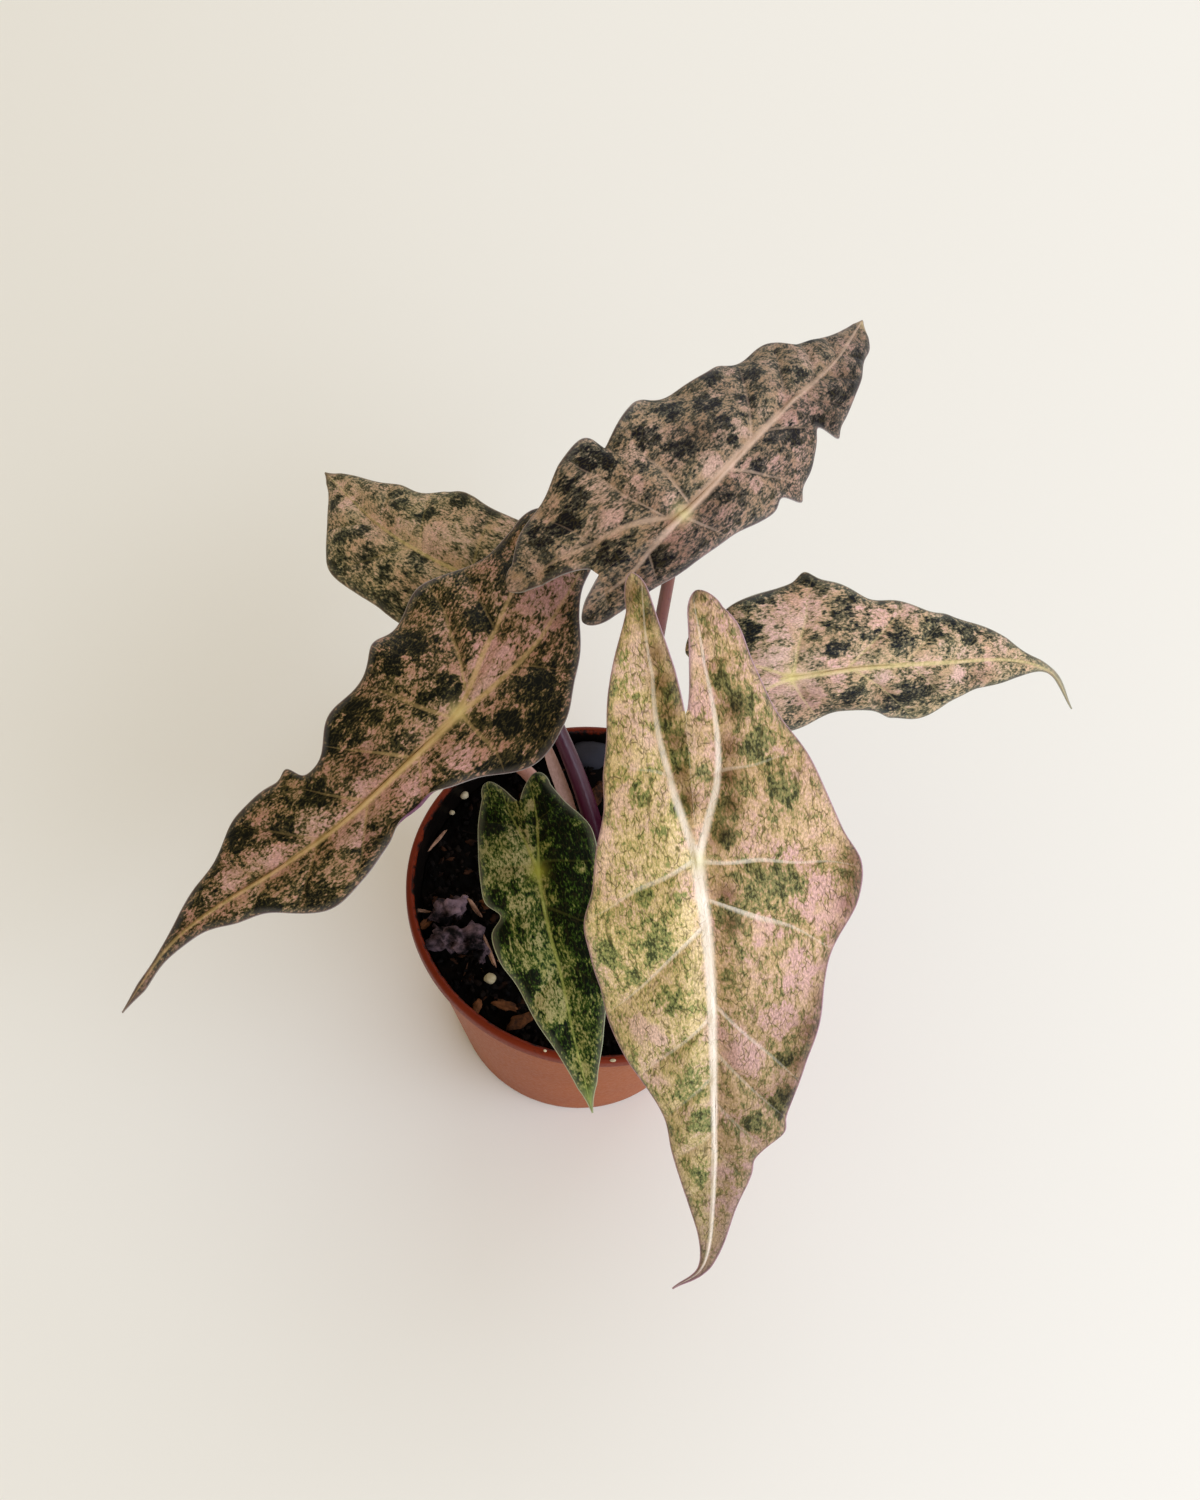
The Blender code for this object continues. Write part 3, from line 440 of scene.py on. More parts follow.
MIX_VECTORS = Kind("ShaderNodeMix", {"data_type": "VECTOR"}, (0, 4, 5))
NOISE = Kind("ShaderNodeTexNoise", {}, ("Vector", "Scale", "Detail", "Roughness", "Distortion"))
NOISE_4D = Kind(
    "ShaderNodeTexNoise", {"noise_dimensions": "4D"}, ("W", "Vector", "Scale", "Detail", "Roughness"))
CELLS = Kind("ShaderNodeTexVoronoi", {}, ("Vector", "Scale"))
BUMP = Kind("ShaderNodeBump", {}, ("Strength", "Distance", "Height"))
FIELD = Kind("ShaderNodeAttribute", {}, ())
PLACE = Kind("ShaderNodeTexCoord", {}, ())
GIVEN = Kind("NodeGroupInput", {}, ())
RESULT = Kind("NodeGroupOutput", {}, ("Geometry",))
SCATTER = Kind("GeometryNodeDistributePointsOnFaces", {}, ("Mesh", "Density", "Seed"))
OBJECT = Kind("GeometryNodeObjectInfo", {}, ("Object",))
RANDOM_TURN = Kind("FunctionNodeRandomValue", {"data_type": "FLOAT_VECTOR"}, ("Min", "Max", "Seed"))
RANDOM_SCALE = Kind("FunctionNodeRandomValue", {}, (2, 3, "Seed"))
COPY = Kind("GeometryNodeInstanceOnPoints", {}, ("Points", "Instance", "Rotation", "Scale"))
REALIZE = Kind("GeometryNodeRealizeInstances", {}, ("Geometry",))
PAINT = Kind("GeometryNodeSetMaterial", {}, ("Geometry", "Material"))


def feed(node, keys, values):
    """Gives inputs of a node their values: a number, a colour's code, a socket, or a node, whose first live
    output is used."""
    for key, value in zip(keys, values):
        if isinstance(value, bpy.types.Node):
            value = next(o for o in value.outputs if o.enabled)
        if isinstance(value, bpy.types.NodeSocket):
            node.id_data.links.new(value, node.inputs[key])
        else:
            node.inputs[key].default_value = linear(value) if isinstance(value, str) else value


def add_node(tree, kind, *values, **settings):
    """Adds a node of a kind to a tree, with its settings and the values of its inputs."""
    node = tree.nodes.new(kind.node)
    for key, value in {**kind.settings, **settings}.items():
        setattr(node, key, value)
    feed(node, kind.inputs, values)
    return node


def new_material(name, specular=0.5):
    """A node material, its Principled shader, and the function that adds its nodes."""
    material = bpy.data.materials.new(name)
    material.use_nodes = True
    shader = material.node_tree.nodes["Principled BSDF"]
    feed(shader, ["Specular IOR Level"], [specular])
    return material, shader, partial(add_node, material.node_tree)


def finish_shader(shader, add, colour, texture, roughness, height, depth, strength):
    """Links the colour, a roughness that follows a texture between two values, and a bump, in millimetres."""
    rough = add(RANGE, texture, 0.3, 0.7, *roughness)
    bump = add(BUMP, strength, depth * MM, height)
    feed(shader, ("Base Color", "Roughness", "Normal"), (colour, rough, bump))


def around(sides):
    """Angles of points that stand evenly round a ring."""
    return 2 * math.pi * np.arange(sides) / sides


def ring_faces(count, sides):
    """Point numbers of rings one above the other, the same one step on, and the faces between them."""
    ring = np.arange(count * sides).reshape(count, sides)
    after = np.roll(ring, -1, axis=1)
    faces = np.stack([ring[:-1], after[:-1], after[1:], ring[1:]], axis=-1)
    return ring, after, faces.reshape(-1, 4).tolist()


def close_sheet(front, back, quads):
    """Points and faces of a closed thin body: its front, its back turned round, and the edge between them."""
    edges = np.concatenate([quads[:, [k, (k + 1) % 4]] for k in range(4)]).tolist()
    known = {(a, b) for a, b in edges}
    a, b = np.array([(a, b) for a, b in edges if (b, a) not in known]).T
    count = len(front)
    edge = np.stack([b, a, a + count, b + count], axis=1)
    return np.concatenate([front, back]), np.concatenate([quads, quads[:, ::-1] + count, edge])


def smooth(values, x):
    """Catmull-Rom curve through the values, which lie at x = 0, 1, 2 and so on, one row for each x."""
    p = np.array(values, float).reshape(len(values), -1)
    p = np.vstack([2 * p[0] - p[1], p, 2 * p[-1] - p[-2]])
    x = np.clip(np.asarray(x, float), 0, len(values) - 1)
    i = np.minimum(x.astype(int), len(values) - 2)
    f = (x - i)[..., None]
    a, b, c, d = p[i], p[i + 1], p[i + 2], p[i + 3]
    return 0.5 * (2 * b + (c - a) * f + (2 * a - 5 * b + 4 * c - d) * f**2 + (3 * b - a - 3 * c + d) * f**3)


def facing_vector(azimuth, elevation):
    """Unit vector towards an azimuth from the front and an elevation, in degrees."""
    a, e = math.radians(azimuth), math.radians(elevation)
    return np.array([math.sin(a) * math.cos(e), -math.cos(a) * math.cos(e), math.sin(e)])


class Form:
    """The shape of one blade in millimetres: u runs out from the midline, s back from the tip."""

    def __init__(self, blade):
        self.blade = blade
        self.dress = DRESSES[blade.name]
        steps = np.linspace(0, 1, SPINE_STEPS + 1)
        self.path = smooth(blade.spine, steps * (len(blade.spine) - 1))
        runs = np.linalg.norm(np.diff(self.path, axis=0), axis=1)
        self.run = np.concatenate([[0], np.cumsum(runs)])
        self.junction = self.run[round(blade.junction / (len(blade.spine) - 1) * SPINE_STEPS)]
        ahead = -np.gradient(self.path, self.run, axis=0)
        ahead /= np.linalg.norm(ahead, axis=1, keepdims=True)
        faces = [facing_vector(*angles) for angles in blade.facing]
        across = np.cross(ahead, smooth(faces, steps * (len(faces) - 1)))
        self.across = across / np.linalg.norm(across, axis=1, keepdims=True)
        self.up = np.cross(self.across, ahead)

    def along(self, rows, s):
        """Vectors that are given along the spine, at a distance from the tip."""
        return np.stack([np.interp(s, self.run, rows[:, k]) for k in range(3)], axis=-1)

    def outer(self, side, s):
        """Half-width of one side, which rounds off at its lobe's tip."""
        blade = self.blade
        widths = blade.left if side == LEFT else blade.right
        lobe_u, lobe_s, _ = blade.lobes[side == RIGHT]
        last_s = min((len(widths) - 1) * STATION, lobe_s - 5)
        width = smooth(widths, np.minimum(s, last_s) / STATION)[..., 0]
        for nick_side, place, reach, height in blade.nicks:
            if nick_side == side:
                width = width + height * np.exp(-(((s - place) / reach) ** 2))
        width = width * (0.25 + 0.75 * np.clip(s / LOOKS[blade.name].tail, 0, 1))
        past = np.clip((s - last_s) / (lobe_s - last_s), 0, 1)
        return lobe_u + LOBE_ROUND + (width - lobe_u - LOBE_ROUND) * np.sqrt(1 - past**2)

    def inner(self, side, s):
        """Distance of the cleft's edge from the midline, 0 ahead of the cleft."""
        lobe_u, lobe_s, power = self.blade.lobes[side == RIGHT]
        back = np.clip((s - self.blade.cleft) / (lobe_s - self.blade.cleft), 0, 1)
        near = np.clip(1 - (lobe_s - s) / (2 * LOBE_ROUND), 0, 1)
        return lobe_u * back**power + LOBE_ROUND * (1 - np.sqrt(1 - near**2))

    def costa(self, side, s):
        """Distance of the lobe's rib from the midline, 0 ahead of the junction."""
        table = self.dress.left_rib if side == LEFT else self.dress.right_rib
        return smooth(table, np.maximum(s - self.junction, 0) / 10)[..., 0]

    def margin_bend(self, side, s):
        """Radians that the margin has bent upwards at its edge, and how much of that is a curl, 0 to 1."""
        blade = self.blade
        wave = np.sin(2 * math.pi * s / (1.7 * blade.veins) + side)
        bend = blade.ruffle * wave * np.clip(s / 40, 0, 1)
        curl = 0 * s
        for curl_side, place, reach, degrees in blade.curls:
            if curl_side == side:
                near = np.exp(-(((s - place) / reach) ** 2))
                bend = bend + degrees * near
                curl = curl + near
        return np.radians(bend), curl

    def side_veins(self, side, u, s):
        """Where the line along the side veins through a point begins, its number and the veins' distance."""
        table = self.dress.left_veins if side == LEFT else self.dress.right_veins
        starts = np.array([table[0][0] - 12] + [row[0] for row in table] + [table[-1][0] + 24], float)
        slants = np.array([table[0][1]] + [row[1] for row in table] + [table[-1][1]], float)
        low, high = s - 60, s + 60
        for _ in range(20):
            start = (low + high) / 2
            slant = np.interp(start, starts, slants)
            out = np.maximum(u - self.costa(side, start), 0)
            behind = start - slant * out - VEIN_BOW * out**2 > s
            low, high = np.where(behind, low, start), np.where(behind, start, high)
        number = np.interp(start, starts, np.arange(len(starts))) + 0.015 * np.sin(0.4 * u + 0.13 * s)
        gap = np.interp(start, starts, np.gradient(starts)) / np.sqrt(1 + slant**2)
        return start, number, gap

    def sheet(self, side, u, s):
        """Points of the blade's middle surface in millimetres, with its swelling between the side veins."""
        dip = math.radians(self.blade.dips[side == RIGHT])
        out = side * self.along(self.across, s)
        up = self.along(self.up, s)
        away = out * math.cos(dip) - up * math.sin(dip)
        lift = up * math.cos(dip) + out * math.sin(dip)
        half = np.maximum(self.outer(side, s), 1)
        bend, curl = self.margin_bend(side, s)
        start = (MARGIN_FROM + CURL_FROM * curl) * half
        length = half - start
        bend = np.where(np.abs(bend) < 0.001, 0.001, bend)
        past = np.maximum(u - start, 0) / length
        reach = np.minimum(u, start) + length / bend * np.sin(bend * past)
        height = length / bend * (1 - np.cos(bend * past))
        _, number, _ = self.side_veins(side, u, s)
        level = np.clip(half / 15, 0, 1) * np.clip(u / 6, 0, 1) * (1 - np.clip(u / half, 0, 1) ** 3)
        height = height + QUILT * np.abs(np.sin(math.pi * number)) ** 0.7 * level
        points = self.along(self.path, s) + away * reach[..., None] + lift * height[..., None]
        beside = np.exp((1.2 - np.hypot(u - self.costa(side, s), 1.2)) / VALLEY_WIDTH)
        middle = np.exp(-(self.costa(LEFT, s) + self.costa(RIGHT, s)) / 2 / VALLEY_WIDTH)
        near = middle + (beside - middle) * np.clip(u / 1.5, 0, 1)
        return points - up * (VALLEY * near * np.clip(half / 20, 0, 1))[..., None]


def put(name, data):
    """A new object in the scene."""
    thing = bpy.data.objects.new(name, data)
    bpy.context.scene.collection.objects.link(thing)
    return thing


def apply_modifiers(host):
    """Gives an object the mesh that its modifiers make, and removes them."""
    mesh = bpy.data.meshes.new_from_object(host.evaluated_get(bpy.context.evaluated_depsgraph_get()))
    host.modifiers.clear()
    host.data = mesh


def new_piece(name, points, faces, materials, slots=None, fields=None):
    """A smooth mesh object at the origin, with a material slot for each face and fields on its points."""
    mesh = bpy.data.meshes.new(name)
    mesh.from_pydata(np.asarray(points, float).tolist(), [], [tuple(face) for face in faces])
    for material in materials:
        mesh.materials.append(material)
    if slots is not None:
        mesh.polygons.foreach_set("material_index", np.asarray(slots, np.int32))
    for field, values in (fields or {}).items():
        layer = mesh.attributes.new(field, "FLOAT_VECTOR", "POINT")
        layer.data.foreach_set("vector", np.asarray(values, np.float32).ravel())
    mesh.shade_smooth()
    return put(name, mesh)


def dress_piece(piece, slot, *nodes):
    """The piece rides with the plant and stands for these CAD nodes, which it hides. Its slot is not used."""
    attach(piece, "root")
    if nodes:
        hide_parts(*nodes)
    return piece


def patches(spots, across, s):
    """How far each point lies in the nearest of some soft patches, which are a quarter longer than wide."""
    deep = np.zeros(across.shape)
    for x, y, radius in spots:
        deep = np.maximum(deep, np.exp(-((across - x) ** 2 + ((s - y) * 0.8) ** 2) / radius**2))
    return deep


def half_blade(form, side):
    """Points of one half's middle surface, the depth of its ribs, and its fields, rows by columns."""
    blade = form.blade
    lobe_s = blade.lobes[side == RIGHT][1]
    # Rows crowd towards the lobe's tip, and columns towards the midline and the margin
    ahead = np.linspace(0, 1, round(blade.cleft / ROW_STEP) + 1) * blade.cleft
    count = round((lobe_s - blade.cleft) / ROW_STEP) + 8
    behind = np.sin(np.linspace(0, 1, count + 1)[1:] * math.pi / 2 * 0.985)
    s = np.concatenate([ahead, blade.cleft + (lobe_s - blade.cleft) * behind])[:, None]
    turn = np.linspace(0, 1, COLUMNS + 1)
    shares = (0.55 * turn + 0.45 * (0.5 - 0.5 * np.cos(math.pi * turn)))[None, :]
    inner, outer = form.inner(side, s), form.outer(side, s)
    u = inner + (outer - inner) * shares
    s = s + 0 * u
    points = form.sheet(side, u, s)
    start, number, gap = form.side_veins(side, u, s)
    from_costa = u - form.costa(side, s)
    from_vein = np.abs(number - np.round(number)) * gap
    half = np.maximum(outer, 1) + 0 * u
    reach = np.clip(u / half, 0, 1)
    behind_junction = np.clip(s - form.junction, 0, None)
    lobe_share = np.clip(behind_junction / (lobe_s - form.junction), 0, 1)
    # Widths of the midrib, the lobe's rib and the side veins, which the colours use too
    bold = np.clip(form.junction / 120, 0.7, 1.1) * blade.bold
    mid_width = bold * (0.25 + 0.8 * np.clip(s / form.junction, 0, 1) ** 1.3)
    mid_width = mid_width * np.clip(1 - behind_junction / 4, 0, 1) * np.clip(s / 18, 0.2, 1) + 0.01
    rib_width = np.where(behind_junction > 0, bold * 0.75 * (1 - lobe_share) ** 0.8, 0) + 0.01
    vein_width = 0.45 * blade.bold * (1 - reach) ** 0.8 * np.clip(half / 14, 0, 1)
    vein_width = np.where(from_costa < 0.3, 0.01, vein_width * np.clip(s / 20, 0, 1) + 0.01)
    # Side veins show best near the junction, and fade towards the tip, the lobes' ends and the margin
    ahead_share = np.clip((start / form.junction - 0.25) / 0.6, 0, 1)
    behind_share = np.clip(1.1 - (start - form.junction) / 45, 0, 1)
    vein_share = np.where(start < form.junction, ahead_share, behind_share) ** 1.3 * (1 - 0.85 * reach)
    # On the upper face ribs stand up and side veins are grooves, and on the underside all stand out
    ridge = 0.3 * mid_width * np.exp(-((u / np.maximum(mid_width * 0.8, 0.25)) ** 2))
    ridge += 0.3 * rib_width * np.exp(-((from_costa / np.maximum(rib_width * 0.8, 0.25)) ** 2))
    ridge -= 0.3 * vein_width * np.exp(-((from_vein / 0.7) ** 2))
    under = mid_width * np.exp(-((u / 1.3) ** 2))
    under += 0.9 * rib_width * np.exp(-((from_costa / 1.1) ** 2))
    under += 0.9 * vein_width * np.exp(-((from_vein / 0.6) ** 2))
    # The sheet thins within 1.5 mm of its margin
    edge = np.minimum(outer - u, np.where(s > blade.cleft, u - inner, 99))
    sheet = SHEET / 2 * (0.35 + 0.65 * np.clip(edge / 1.5, 0, 1))
    fields = {
        "leaf": np.stack([side * u, 1 - 0.75 * lobe_share, s], axis=-1),
        "ribs": np.stack([from_costa, number, gap], axis=-1),
        "widths": np.stack([mid_width, rib_width, vein_width], axis=-1),
        "place": np.stack([edge, vein_share, np.exp(-(u**2 + (s - form.junction) ** 2) / 6)], axis=-1),
        "marks": np.stack([patches(spots, side * u, s) for spots in form.dress[-3:]], axis=-1),
    }
    return points, sheet + ridge, sheet + under, fields


def build_blade(blade):
    """The blade as one closed sheet: its mottled upper face, its purple underside and its pale edge."""
    form = Form(blade)
    rows_joined = round(blade.cleft / ROW_STEP) + 1
    points, above, below, quads, fields = [], [], [], [], {}
    shared, total = None, 0  # the midline's points, which both halves use, and the count of points so far
    for side in (LEFT, RIGHT):
        grid, rise, depth, half_fields = half_blade(form, side)
        rows, columns = rise.shape
        number = np.full((rows, columns), -1)
        fresh = np.ones((rows, columns), bool)
        if side == RIGHT:
            fresh[:rows_joined, 0] = False
            number[:rows_joined, 0] = shared
        number[fresh] = total + np.arange(fresh.sum())
        total += int(fresh.sum())
        points.append(grid[fresh])
        above.append(rise[fresh])
        below.append(depth[fresh])
        for key, values in half_fields.items():
            fields.setdefault(key, []).append(values[fresh])
        shared = number[:rows_joined, 0]
        a, b = number[:-1, :-1].ravel(), number[:-1, 1:].ravel()
        d, e = number[1:, :-1].ravel(), number[1:, 1:].ravel()
        quads.append(np.stack([a, d, e, b] if side == RIGHT else [a, b, e, d], axis=1))
    points, above, below = np.concatenate(points), np.concatenate(above), np.concatenate(below)
    quads = np.concatenate(quads)
    normals = np.zeros(points.shape)
    face = np.cross(points[quads[:, 2]] - points[quads[:, 0]], points[quads[:, 3]] - points[quads[:, 1]])
    for k in range(4):
        np.add.at(normals, quads[:, k], face)
    normals /= np.maximum(np.linalg.norm(normals, axis=1, keepdims=True), 1e-9)
    points, faces = close_sheet(points + normals * above[:, None], points - normals * below[:, None], quads)
    slots = np.zeros(len(faces))
    slots[len(quads):2 * len(quads)] = 1
    fields = {key: np.tile(np.concatenate(values), (2, 1)) for key, values in fields.items()}
    skins = [make(blade.name, LOOKS[blade.name]) for make in (leaf_upper_face, leaf_underside)]
    piece = new_piece(f"dressed_{blade.name}", points * MM, faces.tolist(), skins, slots, fields)
    return dress_piece(piece, blade.name, blade.name)


def leaf_fields(add):
    """The separated outputs of the fields that build_blade lays on a blade's points."""
    for name in ("leaf", "ribs", "widths", "place", "marks"):
        yield add(SPLIT, add(FIELD, attribute_name=name).outputs["Vector"]).outputs


def leaf_upper_face(name, look):
    """Living leaf cuticle with chimeral variegation: satin wax over cells that hold little or much green, so
    the eye sees pink ground, olive mottling and near-black patches, all in streaks along the fine veins."""
    material, shader, add = new_material(f"variegated leaf cuticle {name}", 0.09)
    leaf, ribs, widths, place, marks = leaf_fields(add)
    flat = add(JOIN, leaf[0], leaf[2], 40.0 * look.seed)
    streaks = add(STRETCH, flat, (1.0, 0.5, 1.0))
    # Patches of 9 mm, blotches of 2 mm and grains of 0.6 mm, each with its weight in the mottling
    layers, level = [], look.cover
    for vector, scale, swirl, weight in (
            (flat, 0.11, 0.0, look.patchy),
            (streaks, 0.45, 0.4, look.blotch),
            (streaks, 1.6, 0.2, look.fine)):
        layers.append(add(NOISE, vector, scale, 3.0, 0.6, swirl))
        level = add(TIMES_PLUS, layers[-1], weight, add(PLUS, level, -0.5 * weight))
    _, blotches, grain = layers
    across = add(SIZE, leaf[0])
    beside = add(RANGE, across, 0.0, 6.0, -0.14, 0.0)
    brim = add(RANGE, place[0], 0.5, 4.5, look.brim, 0.0)
    # The dark and the pale patches have torn edges
    torn = []
    for mark, by in ((marks[0], 0.9), (marks[1], -0.9)):
        edge = add(TIMES_PLUS, blotches, by, mark)
        torn.append(add(EASE, edge, 0.25 + by / 2, 0.7 + by / 2))
    for shift, weight in ((torn[0], 0.36), (torn[1], -look.torn), (beside, 1.0), (brim, 1.0)):
        level = add(TIMES_PLUS, shift, weight, level)
    # A blush in patches of 6 mm over the warm ground, and specks of 0.4 mm
    blush = add(TIMES_PLUS, torn[1], 0.15, add(NOISE_4D, 3.0, flat, 0.17, 3.0, 0.6))
    colour = add(MIX, add(EASE, blush, 0.42, 0.7), look.warm, look.pink)
    speck = add(NOISE_4D, 5.0, streaks, 2.4, 3.0, 0.6)
    colour = add(SCALED, colour, add(RANGE, speck, 0.3, 0.7, 0.5, 1.4))
    for middle, spread, most, code in (
            (0.33, 0.13, 0.75, look.yellow), (0.54, 0.08, 0.92, look.green), (0.83, 0.09, 1.0, look.dark)):
        spread *= look.soft
        share = add(EASE, level, middle - spread, middle + spread, 0.0, most)
        colour = add(MIX, share, colour, code)
    # Drifts of 14 mm with a greener and a pinker cast, and the blade's fall in lightness towards its tip
    # By lean one half is greener, its own hue, and one half lighter and the other darker, as painted light
    half = add(RANGE, leaf[0], -3.0, 3.0, -look.lean, look.lean)
    drift = add(TIMES_PLUS, half, 0.3, add(NOISE_4D, 8.0, flat, 0.07, 3.0))
    drift = add(EASE, drift, 0.3, 0.7)
    colour = add(STRETCH, colour, add(MIX_VECTORS, drift, (1.04, 0.97, 0.99), (0.97, 1.02, 0.93)))
    fall = add(RANGE, leaf[2], 0.0, 120.0, look.fall, 1.0)
    colour = add(SCALED, colour, add(TIMES_PLUS, half, 0.14, fall))
    # Thin dark lines of the vein net, 1.3 mm apart and 3.6 mm long, swaying and broken here and there
    sway = add(NOISE, flat, 0.5, 1.0).outputs["Color"]
    sway = add(STRETCH_PLUS, sway, (1.6, 1.6, 0.0), flat)
    cells = add(CELLS, add(STRETCH, sway, (0.75, 0.28, 1.0)), 1.0, feature="DISTANCE_TO_EDGE")
    broken = add(RANGE, blotches, 0.38, 0.56, 0.0, look.net)
    net = add(TIMES, add(RANGE, cells, 0.02, 0.08, 1.0, 0.0), broken)
    tipped = add(RANGE, leaf[2], 0.4 * look.tail, 1.2 * look.tail, 0.85, 0.0)
    for share, code in ((net, "#4E4628"), (tipped, look.tip)):
        colour = add(MIX, share, colour, code)
    # Brown patches: partly brown tissue, partly painted shade on folded strips and down-bent margins
    tan = add(STRETCH, colour, (0.28, 0.19, 0.15))
    colour = add(MIX, add(TIMES, marks[2], look.tan), colour, tan)
    # Midrib, lobe ribs and side veins, each fading at its edges
    number = add(MATH, add(PLUS, ribs[1], 0.5), operation="FRACT")
    number = add(SIZE, add(MATH, number, 0.5, operation="SUBTRACT"))
    veins = 0.0
    for away, width, strength in (
            (across, widths[0], look.rib),
            (add(SIZE, ribs[0]), widths[1], add(TIMES, leaf[1], 0.9 * look.rib)),
            (add(TIMES, number, ribs[2]), widths[2], add(TIMES, place[1], look.side))):
        near, far = add(TIMES, width, 0.4), add(TIMES, width, 1.7)
        line = add(TIMES, add(EASE, away, near, far, 1.0, 0.0), strength)
        veins = add(MOST, line, veins)
    for share in (add(RANGE, grain, 0.35, 0.6, 0.88, 1.0), add(RANGE, leaf[2], 15.0, 100.0, 0.5, 1.0)):
        veins = add(TIMES, veins, share)
    for share, code in ((veins, look.vein), (add(TIMES, place[2], 0.75), look.glow)):
        colour = add(MIX, share, colour, code)
    # Along the margin a grey band and a pale line, partly its own tone and partly painted silvery sheen, and
    # a mauve line
    for start, end, strength, code in (
            (0.3, 2.6, 0.18, look.margin), (0.3, 0.9, 0.5, "#5E4246"), (0.1, 0.35, 0.85, look.margin)):
        colour = add(MIX, add(RANGE, place[0], start, end, strength, 0.0), colour, code)
    height = add(TIMES_PLUS, net, -0.5, grain)
    finish_shader(shader, add, colour, blotches, (0.42, 0.62), height, 0.25, 0.8)
    return material


def leaf_underside(name, look):
    """The same leaf from below: the pigment that shields it makes it plum-coloured, with a mottle of 3 mm and
    paler raised ribs."""
    material, shader, add = new_material(f"plum leaf underside {name}")
    leaf, ribs, widths, _, _ = leaf_fields(add)
    mottle = add(NOISE, add(JOIN, leaf[0], leaf[2], 40.0 * look.seed), 0.35, 4.0, 0.65)
    colour = add(MIX, add(EASE, mottle, 0.35, 0.7), "#5A2C4C", "#7E5566")
    midrib = add(EASE, add(SIZE, leaf[0]), 0.4, 1.6, 0.8, 0.0)
    wide = add(TIMES, widths[1], 1.6)
    lobe_rib = add(EASE, add(SIZE, ribs[0]), 0.0, wide, 0.7, 0.0)
    colour = add(MIX, add(MOST, midrib, lobe_rib), colour, "#9A7D72")
    finish_shader(shader, add, colour, mottle, (0.5, 0.68), mottle, 0.2, 0.5)
    return material


def petiole_line(petiole, steps):
    """Points from the corm into the blade's rib, in metres."""
    form = Form(next(b for b in BLADES if b.name == petiole.blade))
    turn = math.radians(petiole.azimuth)
    ring = Vector((math.cos(turn), math.sin(turn), 0)) * SOCKET_RING
    foot = np.array(CORM_CENTRE + ring + Vector((0, 0, CORM_TOP - SOCKET_DEPTH)))
    up = form.along(form.up, form.junction)
    top = form.along(form.path, form.junction) * MM
    end = top - up * (BLADE_THICKNESS / 2 + RIB_HEIGHT + VALLEY * MM)
    bend_low = np.array(petiole.towards) * MM
    bend_high = end - up * petiole.reach * MM
    t = np.linspace(0, 1, steps + 1)[:, None]
    line = (1 - t) ** 3 * foot + 3 * t * (1 - t) ** 2 * bend_low + 3 * t**2 * (1 - t) * bend_high + t**3 * end
    return np.vstack([line, end + up * 0.5 * MM, end + up * 0.9 * MM])


def build_petiole(petiole):
    """A leaf stalk: swollen and grooved at its sheath, slim and faintly fluted above."""
    sides = PETIOLE_SIDES
    line = petiole_line(petiole, PETIOLE_STEPS)
    ahead = np.gradient(line, axis=0)
    ahead /= np.linalg.norm(ahead, axis=1, keepdims=True)
    low, high = petiole.radii
    run = np.clip(np.arange(len(line)) / PETIOLE_STEPS, 0, 1)
    radius = (low + (high - low) * run**0.8) * MM
    radius[-3:] *= (1.0, 1.0, 0.8)
    inward = np.array(CORM_CENTRE) - line[0]
    turns = around(sides)
    dent = 0.22 * np.exp(-((np.minimum(turns, 2 * math.pi - turns) / 0.5) ** 2))
    points = []
    for k, point in enumerate(line):
        across = inward - ahead[k] * (inward @ ahead[k])
        across /= np.linalg.norm(across)
        other = np.cross(ahead[k], across)
        groove = max(0, 1 - run[k] / 0.35) * dent
        flute = 0.015 * np.sin(turns * 7 + k * 0.05)
        r = radius[k] * (1 - groove + flute)
        points.append(point + r[:, None] * (across * np.cos(turns)[:, None] + other * np.sin(turns)[:, None]))
    count = len(line)
    ring, _, quads = ring_faces(count, sides)
    quads += [tuple(reversed(ring[0].tolist())), tuple(ring[-1].tolist())]
    length = np.repeat(run, sides)
    fields = {"stalk": np.stack([length, np.tile(turns, count), length * 0], axis=-1)}
    material = petiole_skin(petiole.name, *petiole.colours)
    piece = new_piece(f"dressed_{petiole.name}", np.concatenate(points), quads, [material], None, fields)
    return dress_piece(piece, "petiole", petiole.name)


def petiole_skin(name, low, high):
    """Fleshy stalk skin: smooth and slightly glossy, with lengthwise streaks 0.9 mm wide, which make it look
    striped, and plum flecks of 1.4 mm."""
    material, shader, add = new_material(f"streaked stalk skin {name}")
    run = add(SPLIT, add(FIELD, attribute_name="stalk").outputs["Vector"])
    place = add(PLACE).outputs["Object"]
    streak = add(NOISE, add(STRETCH, place, (1.0, 1.0, 0.12)), 1100.0, 3.0, 0.6)
    fleck = add(NOISE, place, 700.0, 3.0, 0.7)
    share = add(EASE, add(TIMES_PLUS, streak, 0.5, run), 0.25, 1.15)
    colour = add(MIX, share, low, high)
    colour = add(MIX, add(EASE, fleck, 0.56, 0.7, 0.0, 0.5), colour, "#4A1B33")
    finish_shader(shader, add, colour, streak, (0.3, 0.45), streak, 0.15, 0.5)
    return material


def wall_radius(z):
    """Outer radius of the pot's wall at a height."""
    return BASE_RADIUS + (RIM_RADIUS - LIP_STEP - BASE_RADIUS) * z / POT_HEIGHT


